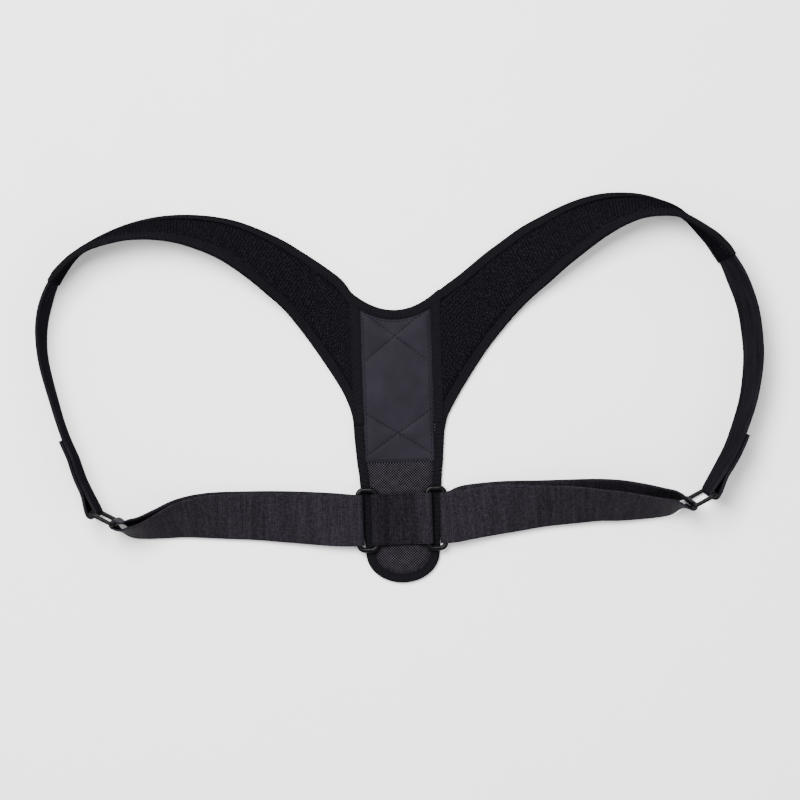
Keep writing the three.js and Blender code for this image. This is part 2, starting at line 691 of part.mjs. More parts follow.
// Doubled webbing: out along one layer, round the ring's bar, back along the other
// and round the loop's bar.
function webbingGeometry(side, table, frame) {
  const loopEnd = vector(side * loopBarOuter, -webbingDrop, loopHeight);
  const seat = frame.middle.z - webbingWidth / 2;
  const lifted = loopHeight - loopTurn - webbingThickness / 2 - fit;
  const start = { along: 0, drop: 1, roll: 0, split: loopTurn, skew: 0, tab: 1, ring: 0 };
  const ringDrop = -frame.webbingBar.y / webbingDrop;
  const finish = { along: 1, drop: ringDrop, roll: 90, split: ringTurn, skew: 0, tab: 0, ring: 1 };
  const rows = smooth([start, ...table, finish], 2);
  const middles = rows.map((row) => {
    const roll = THREE.MathUtils.degToRad(row.roll);
    const resting = fit + (row.split + webbingThickness / 2) * Math.cos(roll);
    const carried = row.tab * lifted + row.ring * (seat - fit);
    const x = THREE.MathUtils.lerp(loopEnd.x, frame.webbingBar.x, row.along);
    return vector(x, -row.drop * webbingDrop, resting + (webbingWidth / 2) * Math.sin(roll) + carried);
  });
  middles[0] = loopEnd;
  middles[middles.length - 1] = frame.webbingBar;
  const travels = tangents(middles);
  travels[0] = vector(side, 0, 0);
  const stations = rows.map((row, i) => {
    const roll = THREE.MathUtils.degToRad(row.roll);
    const north = up.clone().cross(travels[i]).setZ(0).normalize().multiplyScalar(side);
    const tilted = along(north.multiplyScalar(Math.cos(roll)), [up, Math.sin(roll)]);
    const across = tilted.lerp(frame.rise, row.ring ** 6).normalize();
    const through = travels[i].clone().cross(across).normalize().multiplyScalar(side);
    return { point: middles[i], across, through, split: row.split, skew: row.skew };
  });
  const layer = (sign, skewed) =>
    stations.map((s) => {
      const through = s.through.clone().multiplyScalar(sign);
      const point = along(s.point, [through, s.split], [s.across, skewed * s.skew]);
      return { point, across: s.across, through };
    });
  const first = stations[0];
  const last = stations.at(-1);
  const ahead = last.across.clone().cross(last.through).normalize().multiplyScalar(side);
  const behind = travels[0].clone().negate();
  const ringRound = turnRound(frame.webbingBar, last.through, ahead, last.across, ringTurn);
  const loopRound = turnRound(loopEnd, first.through.clone().negate(), behind, first.across, loopTurn);
  const outline = tapeOutline(webbingWidth, webbingThickness);
  const all = [...layer(1, 0), ...ringRound, ...layer(-1, 1).reverse(), ...loopRound];
  return skin(all.map((s) => lay(outline, s)), outline, true);
}

// Cross band round the inner bars of both loops, its upper layer sewn down.
function crossBandGeometry() {
  const across = vector(0, 1, 0);
  const pressed = loopHeight + loopTurn - (bandBase + webbingThickness + fit);
  const upper = smooth(bandPress, 2).map((row) => ({
    point: vector(row.across * loopBarInner, -webbingDrop, loopHeight + loopTurn - row.press * pressed),
    across,
    through: up,
  }));
  const down = up.clone().negate();
  const lower = [1, 0, -1].map((share) => ({
    point: vector(share * loopBarInner, -webbingDrop, bandBase),
    across,
    through: down,
  }));
  const barAt = (side) => vector(side * loopBarInner, -webbingDrop, loopHeight);
  const right = turnRound(barAt(1), up, vector(1, 0, 0), across, loopTurn);
  const left = turnRound(barAt(-1), down, vector(-1, 0, 0), across, loopTurn);
  const outline = tapeOutline(webbingWidth, webbingThickness);
  return skin([...upper, ...right, ...lower, ...left].map((s) => lay(outline, s)), outline, true);
}

// Moulded frame: a round bar bent to a rounded rectangle.
function frameGeometry(middle, run, rise, halfRun, halfLength, corner, bar) {
  const normal = run.clone().cross(rise).normalize();
  const path = [];
  const cornerSteps = 4;
  for (let quarter = 0; quarter < 4; quarter++) {
    const signRun = quarter === 0 || quarter === 3 ? 1 : -1;
    const signRise = quarter < 2 ? 1 : -1;
    for (let i = 0; i <= cornerSteps; i++) {
      const angle = (quarter + i / cornerSteps) * (Math.PI / 2);
      const a = signRun * (halfRun - corner) + corner * Math.cos(angle);
      const b = signRise * (halfLength - corner) + corner * Math.sin(angle);
      path.push({ point: along(middle, [run, a], [rise, b]), angle });
    }
  }
  const sides = 8;
  const outline = [];
  for (let i = 0; i < sides; i++) {
    const angle = ((i + 0.5) / sides) * 2 * Math.PI;
    outline.push(new THREE.Vector2(Math.cos(angle), Math.sin(angle)).multiplyScalar(bar / 2));
  }
  const sections = path.map(({ point, angle }) => {
    const across = along(vector(0, 0, 0), [run, Math.cos(angle)], [rise, Math.sin(angle)]);
    return lay(outline, { point, across, through: normal });
  });
  return skin(sections, outline, true);
}

function loopGeometry(side) {
  const middle = vector(side * loopMiddle, -webbingDrop, loopHeight);
  const halfRun = (loopOuterWidth - loopBar) / 2;
  const halfLength = webbingWidth / 2 + loopEndClearance + loopBar / 2;
  return frameGeometry(middle, vector(1, 0, 0), vector(0, 1, 0), halfRun, halfLength, loopCorner, loopBar);
}

const finishes = {
  mesh: { color: 0x17161b, roughness: 0.95, metalness: 0 },
  nylon: { color: 0x1d1c22, roughness: 0.8, metalness: 0 },
  patch: { color: 0x2b2931, roughness: 0.6, metalness: 0 },
  binding: { color: 0x18171c, roughness: 0.9, metalness: 0 },
  webbing: { color: 0x232128, roughness: 0.75, metalness: 0 },
  strap: { color: 0x1c1b21, roughness: 0.85, metalness: 0 },
  plastic: { color: 0x1a191e, roughness: 0.35, metalness: 0 },
};

const group = new THREE.Group();

function addPiece(name, geometry, finish) {
  const mesh = new THREE.Mesh(geometry, new THREE.MeshStandardMaterial(finishes[finish]));
  mesh.name = name;
  group.add(mesh);
}

const sides = [
  {
    name: "left",
    side: -1,
    pad: padLeft,
    strap: strapLeft,
    ring: ringLeft,
    webbing: webbingLeft,
    tail: tailLengthLeft,
  },
  {
    name: "right",
    side: 1,
    pad: padRight,
    strap: strapRight,
    ring: ringRight,
    webbing: webbingRight,
    tail: tailLengthRight,
  },
];

const frames = sides.map((s) => ringFrame(s.side, s.ring));
const runs = sides.map((s, i) => armRun(s.side, s.pad, s.strap, frames[i]));

addPiece("back_panel", panelGeometry(runs), "nylon");
addPiece("centre_patch", patchGeometry(), "patch");
addPiece("neck_binding", bindingGeometry(neckEdge(runs), -1), "binding");
addPiece("hem_binding", bindingGeometry(hemEdge(runs), 1), "binding");
addPiece("cross_band", crossBandGeometry(), "webbing");
sides.forEach((s, i) => {
  const frame = frames[i];
  addPiece("shoulder_pad_" + s.name, padGeometry(runs[i]), "mesh");
  addPiece("adjuster_strap_" + s.name, strapGeometry(runs[i], frame, s.tail), "strap");
  const ring = frameGeometry(
    frame.middle,
    frame.run,
    frame.rise,
    frame.halfRun,
    frame.halfLength,
    ringCorner,
    ringBar,
  );
  addPiece("strap_ring_" + s.name, ring, "plastic");
  addPiece("side_webbing_" + s.name, webbingGeometry(s.side, s.webbing, frame), "webbing");
  addPiece("webbing_loop_" + s.name, loopGeometry(s.side), "plastic");
});

export default group;
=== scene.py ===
import math
import random

import bpy
import numpy as np
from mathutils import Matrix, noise


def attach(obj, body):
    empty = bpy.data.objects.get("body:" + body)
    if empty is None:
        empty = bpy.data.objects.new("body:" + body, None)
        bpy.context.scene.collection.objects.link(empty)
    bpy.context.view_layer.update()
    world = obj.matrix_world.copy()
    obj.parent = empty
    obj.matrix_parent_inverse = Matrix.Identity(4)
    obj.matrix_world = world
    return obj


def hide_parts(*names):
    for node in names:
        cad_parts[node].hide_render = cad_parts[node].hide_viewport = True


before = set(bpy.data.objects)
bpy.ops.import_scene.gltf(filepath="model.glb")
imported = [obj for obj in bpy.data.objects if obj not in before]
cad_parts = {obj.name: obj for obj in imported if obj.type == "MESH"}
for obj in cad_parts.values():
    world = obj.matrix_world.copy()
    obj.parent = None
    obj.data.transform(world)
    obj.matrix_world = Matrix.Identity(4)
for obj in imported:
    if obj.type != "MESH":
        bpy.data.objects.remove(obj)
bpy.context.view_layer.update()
random.seed(11)
print("packed model loaded")

# everything below is worked out in millimetres and scaled when a mesh is made
toMetres = 0.001
up = np.array([0.0, 0.0, 1.0])

yoke = {
    "halfSpan": 262, "shoulderRise": 180, "panelHalfWidth": 32.5, "seamFoot": 8,
    "neckRise": 99.6, "neckScoop": 13.9, "tabDrop": 101.3,
    "thickness": 4.6, "bandWidth": 40,
}
fit = 0.3
seatFit = 0.5
tape = {"thickness": 0.8, "reach": 6.0}
webbing = {"width": 38, "thickness": 1.6, "drop": 54.8}
strap = {"thickness": 2.4, "tail": {"left": 58, "right": 50}, "tailEasing": 18}
loopPart = {"outerWidth": 17, "bar": 4, "middle": 25.6, "endClearance": 1.25, "corner": 4}
ringPart = {"bar": 3.2, "gap": 15, "endClearance": 0.75, "corner": 2.4}

# pad sections from the seam outward: neck x, neck y, armhole x, armhole y, rise
padRows = {
    "left": [
        (0.131, 0.644, 0.128, 0.128, 0), (0.143, 0.672, 0.153, 0.23, 0),
        (0.162, 0.701, 0.205, 0.358, 0.01), (0.189, 0.732, 0.255, 0.469, 0.08),
        (0.22, 0.765, 0.309, 0.574, 0.25), (0.27, 0.814, 0.358, 0.643, 0.44),
        (0.326, 0.864, 0.405, 0.705, 0.6), (0.436, 0.935, 0.478, 0.785, 0.78),
        (0.547, 0.967, 0.56, 0.842, 0.865), (0.657, 0.967, 0.643, 0.875, 0.915),
        (0.765, 0.933, 0.748, 0.88, 0.967), (0.87, 0.863, 0.859, 0.841, 0.985),
        (0.924, 0.787, 0.92, 0.782, 0.995), (0.956, 0.709, 0.961, 0.713, 0.995),
    ],
    "right": [
        (0.133, 0.635, 0.135, 0.112, 0), (0.15, 0.653, 0.161, 0.183, 0),
        (0.182, 0.685, 0.197, 0.266, 0), (0.218, 0.725, 0.256, 0.389, 0.01),
        (0.26, 0.773, 0.326, 0.509, 0.07), (0.307, 0.82, 0.384, 0.592, 0.19),
        (0.365, 0.876, 0.437, 0.655, 0.35), (0.424, 0.919, 0.483, 0.713, 0.5),
        (0.481, 0.957, 0.529, 0.764, 0.62), (0.539, 0.986, 0.574, 0.812, 0.72),
        (0.595, 1.002, 0.613, 0.848, 0.8), (0.65, 1.004, 0.656, 0.88, 0.86),
        (0.706, 0.995, 0.701, 0.902, 0.92), (0.76, 0.97, 0.748, 0.909, 0.96),
        (0.817, 0.929, 0.807, 0.899, 0.98), (0.874, 0.834, 0.88, 0.837, 0.995),
        (0.903, 0.777, 0.917, 0.793, 0.99), (0.927, 0.712, 0.951, 0.731, 0.985),
    ],
}
# strap sections from the pad's end to the ring: out, down, lean, lift
strapRows = {
    "left": [
        (0.981, 0.084, 0.08, 0), (0.994, 0.165, 0.07, 0), (0.998, 0.248, 0.05, 0),
        (0.994, 0.333, 0.03, 0), (0.983, 0.419, 0.02, 0), (0.969, 0.505, 0.01, 0),
        (0.954, 0.594, 0, 0), (0.936, 0.68, 0, 0.05), (0.914, 0.762, 0, 0.2),
        (0.895, 0.854, 0.01, 0.55),
    ],
    "right": [
        (0.963, 0.077, 0.25, 0), (0.983, 0.16, 0.26, 0), (0.996, 0.243, 0.26, 0),
        (1.003, 0.356, 0.25, 0), (1.003, 0.44, 0.24, 0), (0.996, 0.525, 0.22, 0),
        (0.985, 0.607, 0.2, 0), (0.968, 0.689, 0.18, 0.05), (0.938, 0.803, 0.16, 0.3),
        (0.906, 0.89, 0.14, 0.65),
    ],
}
ringPlace = {
    "left": {"out": 0.834, "down": 0.84, "turn": 28.6, "lean": 1},
    "right": {"out": 0.841, "down": 0.83, "turn": 26.8, "lean": 5},
}
# webbing sections from the tab to the ring: along, drop, roll, split, skew, tab, ring
webbingRows = {
    "left": [
        (0.04, 1, 0, 3.1, 0.6, 1, 0), (0.1, 0.99, 2, 2.6, 1.2, 0.85, 0),
        (0.24, 0.943, 9, 1.9, 0.8, 0.4, 0), (0.4, 0.895, 20, 1.7, 0.2, 0.1, 0),
        (0.57, 0.868, 28, 1.7, 0, 0, 0), (0.655, 0.866, 35, 1.7, 0, 0, 0),
        (0.735, 0.888, 45, 1.8, 0, 0, 0.02), (0.817, 0.947, 59, 2.1, 0, 0, 0.1),
        (0.9, 0.996, 72, 2.7, 0, 0, 0.4), (0.965, 0.985, 78, 3, 0, 0, 0.85),
    ],
    "right": [
        (0.04, 0.99, 0, 3.1, 0.8, 1, 0), (0.1, 0.955, 6, 2.8, 2.4, 0.8, 0),
        (0.228, 0.9, 14, 2.4, 1.4, 0.4, 0), (0.39, 0.855, 33, 2.8, 0.4, 0.1, 0),
        (0.555, 0.829, 44, 4, 0, 0, 0), (0.64, 0.824, 51, 4.8, 0, 0, 0),
        (0.72, 0.839, 54, 5, 0, 0, 0), (0.8, 0.86, 60, 4.7, 0, 0, 0.05),
        (0.883, 0.884, 67, 4.2, 0, 0, 0.25), (0.95, 0.892, 74, 3.5, 0, 0, 0.7),
    ],
}
# the tab's side edge: how far down, half width
tabSide = [(-0.079, 1), (0.12, 0.951), (0.26, 0.905), (0.59, 0.855), (0.79, 0.809)]
# the cross band's upper layer: across, how far pressed down
bandPress = [
    (-1, 0), (-0.78, 0.22), (-0.5, 0.88), (-0.2, 1), (0.3, 1), (0.52, 0.92), (0.78, 0.28), (1, 0),
]
sideSign = {"left": -1, "right": 1}

hem = tape["thickness"] + fit
seatThickness = yoke["thickness"] - 2 * (tape["thickness"] + seatFit)
midHeight = yoke["thickness"] / 2
loopTurn = loopPart["bar"] / 2 + fit + webbing["thickness"] / 2
ringTurn = ringPart["bar"] / 2 + fit + webbing["thickness"] / 2
strapTurn = ringPart["bar"] / 2 + fit + strap["thickness"] / 2
bandBase = yoke["thickness"] + fit + webbing["thickness"] / 2
loopHeight = bandBase + loopTurn
loopBarInner = loopPart["middle"] - (loopPart["outerWidth"] - loopPart["bar"]) / 2
loopBarOuter = loopPart["middle"] + (loopPart["outerWidth"] - loopPart["bar"]) / 2


# small helpers for lines and frames

def unit(v):
    v = np.asarray(v, float)
    return v / np.maximum(np.linalg.norm(v, axis=-1, keepdims=True), 1e-9)


def smoothRun(rows, steps):
    rows = np.asarray(rows, float)
    wide = np.vstack([2 * rows[0] - rows[1], rows, 2 * rows[-1] - rows[-2]])
    out = []
    for i in range(len(rows) - 1):
        a, b, c, d = wide[i:i + 4]
        for s in range(steps):
            t = s / steps
            bend = 2 * a - 5 * b + 4 * c - d
            curl = 3 * b - a - 3 * c + d
            out.append(0.5 * (2 * b + (c - a) * t + bend * t * t + curl * t ** 3))
    out.append(rows[-1])
    return np.array(out)


def travelOf(points):
    points = np.asarray(points, float)
    ahead = np.vstack([points[1:], points[-1:]])
    behind = np.vstack([points[:1], points[:-1]])
    return unit(ahead - behind)


def lengthsOf(points):
    steps = np.linalg.norm(np.diff(points, axis=0), axis=1)
    return np.concatenate([[0.0], np.cumsum(steps)])


def distanceTo(points, line):
    best = np.full(len(points), 1e9)
    for a, b in zip(line[:-1], line[1:]):
        run = b - a
        share = np.clip(((points - a) @ run) / max(run @ run, 1e-9), 0, 1)
        best = np.minimum(best, np.linalg.norm(points - a - share[:, None] * run, axis=1))
    return best


def ease(x):
    x = np.clip(x, 0, 1)
    return x * x * (3 - 2 * x)


def ripple(points, size, seed):
    shift = np.array([seed * 7.3, seed * 3.1, seed * 5.7])
    return np.array([noise.noise(tuple(p / size + shift)) for p in points])


# frames of the arm runs, rings and webbing, the same as the CAD part's

def ringFrameOf(side):
    place, sign = ringPlace[side], sideSign[side]
    turn, lean = math.radians(place["turn"]), math.radians(place["lean"])
    run = np.array([sign * math.cos(turn), math.sin(turn), 0])
    outward = np.array([sign * math.sin(turn), -math.cos(turn), 0])
    rise = outward * math.sin(lean) + up * math.cos(lean)
    halfLength = webbing["width"] / 2 + ringPart["endClearance"] + ringPart["bar"] / 2
    middle = np.array([sign * place["out"] * yoke["halfSpan"], -place["down"] * webbing["drop"], 0])
    middle[2] = halfLength * math.cos(lean) + ringPart["bar"] / 2
    halfRun = (ringPart["gap"] + ringPart["bar"]) / 2
    return {
        "run": run, "rise": rise, "middle": middle, "halfRun": halfRun, "halfLength": halfLength,
        "strapBar": middle + run * halfRun, "webbingBar": middle - run * halfRun,
    }


def padEdges(side):
    sign = sideSign[side]
    edges = [[sign * yoke["panelHalfWidth"], yoke["neckRise"] + yoke["neckScoop"], midHeight,
              sign * yoke["panelHalfWidth"], yoke["seamFoot"], midHeight]]
    for neckX, neckY, holeX, holeY, rise in padRows[side]:
        neck = np.array([sign * neckX * yoke["halfSpan"], neckY * yoke["shoulderRise"], 0])
        hole = np.array([sign * holeX * yoke["halfSpan"], holeY * yoke["shoulderRise"], 0])
        flat = np.linalg.norm(hole - neck)
        lift = rise * yoke["bandWidth"]
        neck[2] = hem + (midHeight - hem) * flat / math.hypot(flat, lift)
        hole[2] = neck[2] + lift
        edges.append([*neck, *hole])
    return edges


def bindingSection(fine=False):
    inner = seatThickness / 2 + seatFit
    outer = inner + tape["thickness"]
    reach, back = tape["reach"], tape["thickness"]
    if not fine:
        return np.array([
            (reach, outer), (back - hem, outer), (-hem, outer - back), (-hem, back - outer),
            (back - hem, -outer), (reach, -outer), (reach, -inner), (-fit, -inner), (-fit, inner),
            (reach, inner)])
    fold = [(-hem + 1.5 - 1.5 * math.sin(a), outer * math.cos(a) ** 0.8 if math.cos(a) > 0 else 0)
            for a in np.linspace(0, math.pi / 2, 7)]
    top = [(reach - 0.15, inner + 0.25), (reach, inner + 0.45), (reach - 0.2, outer - 0.08),
           (reach - 0.9, outer - 0.02), (reach - 2.0, outer - 0.14), (reach - 3.2, outer),
           (reach - 4.4, outer + 0.02)] + fold
    bottom = [(x, -y) for x, y in reversed(top[:-1])]
    inside = [(reach - 0.5, -inner), (2.5, -inner), (-fit, -inner * 0.9),
              (-fit, inner * 0.9), (2.5, inner), (reach - 0.5, inner)]
    return np.array(top + bottom + inside)


def laid(section, point, across, through):
    return point + section[:, :1] * across + section[:, 1:] * through


def armRun(side, frameOfRing):
    sign = sideSign[side]
    pads = padEdges(side)
    joint = np.array(pads[-1])
    start = (joint[:3] + joint[3:]) / 2
    seat = frameOfRing["middle"][2] - start[2]
    bar = frameOfRing["strapBar"]
    middles = [np.array([sign * out * yoke["halfSpan"], start[1] + down * (bar[1] - start[1]),
                         start[2] + lift * seat]) for out, down, lean, lift in strapRows[side]]
    travel = travelOf([start, *middles, bar])[1:-1]
    half = webbing["width"] / 2
    straps = []
    for row, point, t in zip(strapRows[side], middles, travel):
        outward = unit(np.cross(t, up) * np.array([1, 1, 0]))
        outward = outward * np.sign(outward[0] * sign)
        tilt = math.asin(row[2])
        rise = outward * math.sin(tilt) + up * math.cos(tilt)
        straps.append([*(point - rise * half), *(point + rise * half)])
    arrive = bar - middles[-1]
    arrive = unit(arrive - frameOfRing["rise"] * (arrive @ frameOfRing["rise"]))
    inward = unit(np.cross(frameOfRing["rise"], arrive))
    inward = inward * (-sign * np.sign(inward[0]))
    end = bar + inward * strapTurn
    endRow = [*(end - frameOfRing["rise"] * half), *(end + frameOfRing["rise"] * half)]
    rows = smoothRun([*pads, *straps, endRow], 2)
    jointAt = (len(pads) - 1) * 2
    shallow = 0.35

    def normals(neck, hole):
        mid = (neck + hole) / 2
        across = unit(hole - neck)
        through = -sign * unit(np.cross(travelOf(mid), across))
        out = []
        for edge in (neck, hole):
            cross = -sign * np.cross(travelOf(edge), across)
            long = np.linalg.norm(cross, axis=1, keepdims=True)
            out.append(np.where(long > shallow, cross / np.maximum(long, 1e-9), through))
        return mid, across, through, out[0], out[1]

    neck, hole = rows[:, :3].copy(), rows[:, 3:].copy()
    _, _, _, neckThrough, _ = normals(neck, hole)
    travels = travelOf(neck)
    section = bindingSection()
    for i in range(jointAt + 1):
        across = -sign * unit(np.cross(neckThrough[i], travels[i]))
        low = laid(section, neck[i], across, neckThrough[i])[:, 2].min()
        neck[i, 2] -= low
        hole[i, 2] -= low
    more = 6
    fine = smoothRun(np.hstack([neck, hole]), more)
    neck, hole = fine[:, :3], fine[:, 3:]
    mid, across, through, neckThrough, holeThrough = normals(neck, hole)
    return {
        "sign": sign, "neck": neck, "hole": hole, "mid": mid, "across": across,
        "through": through, "neckThrough": neckThrough, "holeThrough": holeThrough,
        "jointAt": jointAt * more, "arrive": arrive, "inward": inward,
    }


ringFrames = {side: ringFrameOf(side) for side in sideSign}
runs = {side: armRun(side, ringFrames[side]) for side in sideSign}


def upRow(line):
    return line, np.tile(up, (len(line), 1))


def yokeEdge(key, middle):
    # in along the left pad's edge, over the panel, out along the right pad's edge
    left, right = runs["left"], runs["right"]
    j, k = left["jointAt"] + 1, right["jointAt"] + 1
    return [np.vstack([left[name][:j][::-1], between, right[name][:k]])
            for name, between in zip((key, key + "Through"), upRow(middle))]


def neckPath():
    shares = np.linspace(-1, 1, 49)[1:-1]
    middle = np.stack([shares * yoke["panelHalfWidth"],
                       yoke["neckRise"] + yoke["neckScoop"] * shares ** 2,
                       np.full(len(shares), midHeight)], 1)
    return yokeEdge("neck", middle)


def tabEdge():
    side = smoothRun([(half * yoke["panelHalfWidth"], -down * yoke["tabDrop"])
                      for down, half in tabSide], 9)
    side[0, 1] = yoke["seamFoot"]
    halfEnd, endTop = side[-1]
    angles = np.linspace(0, math.pi / 2, 28)[1:]
    curve = np.stack([halfEnd * np.cos(angles),
                      endTop - (yoke["tabDrop"] + endTop) * np.sin(angles)], 1)
    return np.vstack([side, curve])


def hemPath():
    half = tabEdge()
    down = np.stack([-half[1:, 0], half[1:, 1], np.full(len(half) - 1, midHeight)], 1)
    back = np.stack([half[1:-1, 0], half[1:-1, 1], np.full(len(half) - 2, midHeight)], 1)[::-1]
    return yokeEdge("hole", np.vstack([down, back]))


def thinned(points, through, step):
    # drops crowded stations so a binding's sections stay about one step apart
    keep = [0]
    for i in range(1, len(points) - 1):
        if np.linalg.norm(points[i] - points[keep[-1]]) > step:
            keep.append(i)
    keep.append(len(points) - 1)
    return points[keep], through[keep]


edgeStep = 1.3
neckLine, neckNormals = thinned(*neckPath(), edgeStep)
hemLine, hemNormals = thinned(*hemPath(), edgeStep)


# mesh making

def finishMesh(name, points, faces, faceUv):
    points = np.asarray(points, float)
    tops = sum(np.dot(points[f[0]], np.cross(points[f[1]], points[f[2]]))
               + np.dot(points[f[0]], np.cross(points[f[2]], points[f[-1]])) for f in faces)
    if tops < 0:
        faces = [tuple(reversed(f)) for f in faces]
        faceUv = [tuple(reversed(u)) for u in faceUv]
    mesh = bpy.data.meshes.new(name)
    mesh.from_pydata((points * toMetres).tolist(), [], [tuple(int(i) for i in f) for f in faces])
    layer = mesh.uv_layers.new(name="cloth")
    layer.data.foreach_set("uv", np.array([c for u in faceUv for c in u], float).ravel())
    mesh.polygons.foreach_set("use_smooth", [len(f) < 5 for f in faces])
    mesh.update()
    piece = bpy.data.objects.new(name, mesh)
    bpy.context.scene.collection.objects.link(piece)
    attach(piece, "root")
    return piece


def ringsPiece(name, rings, along, around, closedRun=False, paired=False):
    # rings of equal count, each a closed loop; along and around are cloth millimetres.
    # A paired ring runs out over the top and back below, so its ends close in narrow quads.
    count, size = rings.shape[:2]
    faces, uv = [], []
    for i in range(count if closedRun else count - 1):
        j = (i + 1) % count
        for k in range(size):
            m = (k + 1) % size
            faces.append((i * size + k, j * size + k, j * size + m, i * size + m))
            uv.append(((along[i], around[k]), (along[i + 1], around[k]),
                       (along[i + 1], around[k + 1]), (along[i], around[k + 1])))
    if not closedRun:
        last = (count - 1) * size
        ends = [tuple(range(size)), tuple(reversed(range(last, last + size)))]
        if paired:
            quads = [(k, k + 1, size - 2 - k, size - 1 - k) for k in range(size // 2 - 1)]
            ends = quads + [tuple(last + v for v in reversed(quad)) for quad in quads]
        for end in ends:
            at = along[0] if end[0] < last else along[count - 1]
            faces.append(end)
            uv.append(tuple((at, around[v % size]) for v in end))
    return finishMesh(name, rings.reshape(-1, 3), faces, uv)


def aroundOf(section):
    closed = np.vstack([section, section[:1]])
    return np.concatenate([[0.0], np.cumsum(np.linalg.norm(np.diff(closed, axis=0), axis=1))])


# pads: crowned between their bindings, with small puckers along the seam

padLook = {
    "across": 46, "puff": 0.55, "puffStart": 8, "puffRun": 7, "pucker": 0.14, "puckerStep": 6.5,
    "dent": 0.5, "dentSize": 26, "endHalf": 1.45, "endRun": 7,
    "fold": 0.35, "foldStep": 21, "foldSlant": 9, "foldFrom": 175, "foldRun": 40,
}


def padPiece(side):
    run = runs[side]
    j = run["jointAt"]
    neck, hole = run["neck"][:j + 1], run["hole"][:j + 1]
    width = np.linalg.norm(hole - neck, axis=1)
    shares = 0.5 - 0.5 * np.cos(np.linspace(0, math.pi, padLook["across"]))
    shares = 0.6 * shares + 0.4 * np.linspace(0, 1, padLook["across"])
    base = neck[:, None] + (hole - neck)[:, None] * shares[None, :, None]
    through = unit(run["neckThrough"][:j + 1, None] * (1 - shares)[None, :, None]
                   + run["holeThrough"][:j + 1, None] * shares[None, :, None])
    flat = base.reshape(-1, 3)
    edge = np.minimum(distanceTo(flat, neck), distanceTo(flat, hole)).reshape(base.shape[:2])
    along = lengthsOf(run["mid"][:j + 1])
    fromEnd = (along[-1] - along)[:, None]
    thin = seatThickness / 2 - 0.05
    rise = ease((edge - tape["reach"] - 0.1) / 2.6)
    half = thin + (midHeight - thin) * rise
    crown = 1 - np.exp(-np.maximum(edge - padLook["puffStart"], 0) / padLook["puffRun"])
    half = half + padLook["puff"] * crown * ease((along[:, None] - 1) / 9)
    pucker = np.exp(-np.abs(edge - tape["reach"] - 1.5) / 2.5)
    wave = np.sin(2 * math.pi * along[:, None] / padLook["puckerStep"] + 2 * shares[None, :])
    half = half + padLook["pucker"] * pucker * wave * rise
    half = half - (half - padLook["endHalf"]) * ease(1 - fromEnd / padLook["endRun"]) * rise
    small = ripple(flat, padLook["dentSize"] / 2.4, 8 + run["sign"])
    dents = (ripple(flat, padLook["dentSize"], 3 + run["sign"]) + 0.5 * small).reshape(edge.shape)
    bent = 0.35 + 0.65 * ease(along / along[-1])[:, None]
    sway = padLook["dent"] * dents * bent * ease((edge - 6.5) / 8)
    if run["sign"] > 0:
        slanted = along[:, None] - padLook["foldSlant"] * shares[None, :]
        folds = np.sin(2 * math.pi * slanted / padLook["foldStep"])
        reach = ease((along - padLook["foldFrom"]) / padLook["foldRun"])[:, None]
        sway = sway + padLook["fold"] * folds * reach * ease((edge - 6.5) / 6)
    top = base + through * (half + sway)[..., None]
    low = base - through * (half - sway)[..., None]
    rings = np.concatenate([top, low[:, ::-1]], 1)
    rings[..., 2] = np.maximum(rings[..., 2], 0.03)
    middleAcross = shares * np.median(width)
    around = np.concatenate([middleAcross, middleAcross[-1] + 2 + middleAcross,
                             [2 * middleAcross[-1] + 4]])
    piece = ringsPiece("padShoulder" + side.title(), rings, along, around, paired=True)
    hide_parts("shoulder_pad_" + side)


for side in sideSign:
    padPiece(side)
print("shoulder pads shaped")


# the panel on the spine: sewn strips beside the patch, and a quilted tab

panelLook = {
    "across": 70, "puff": 0.5, "dent": 0.16, "dentSize": 14, "bandHalf": 21, "bandSink": 0.15,
}
stripLook = {
    "inner": 26.2, "outer": 33.7, "foot": 16.0, "bottom": 4.5, "top": 5.15, "topInset": 7.4,
    "waver": 0.12, "waverRun": 5.0, "pucker": 0.06, "puckerStep": 3.3, "seamInset": 1.1,
}


def panelHalf(y):
    edge = tabEdge()
    order = np.argsort(edge[:, 1])
    return np.interp(y, edge[order, 1], edge[order, 0])


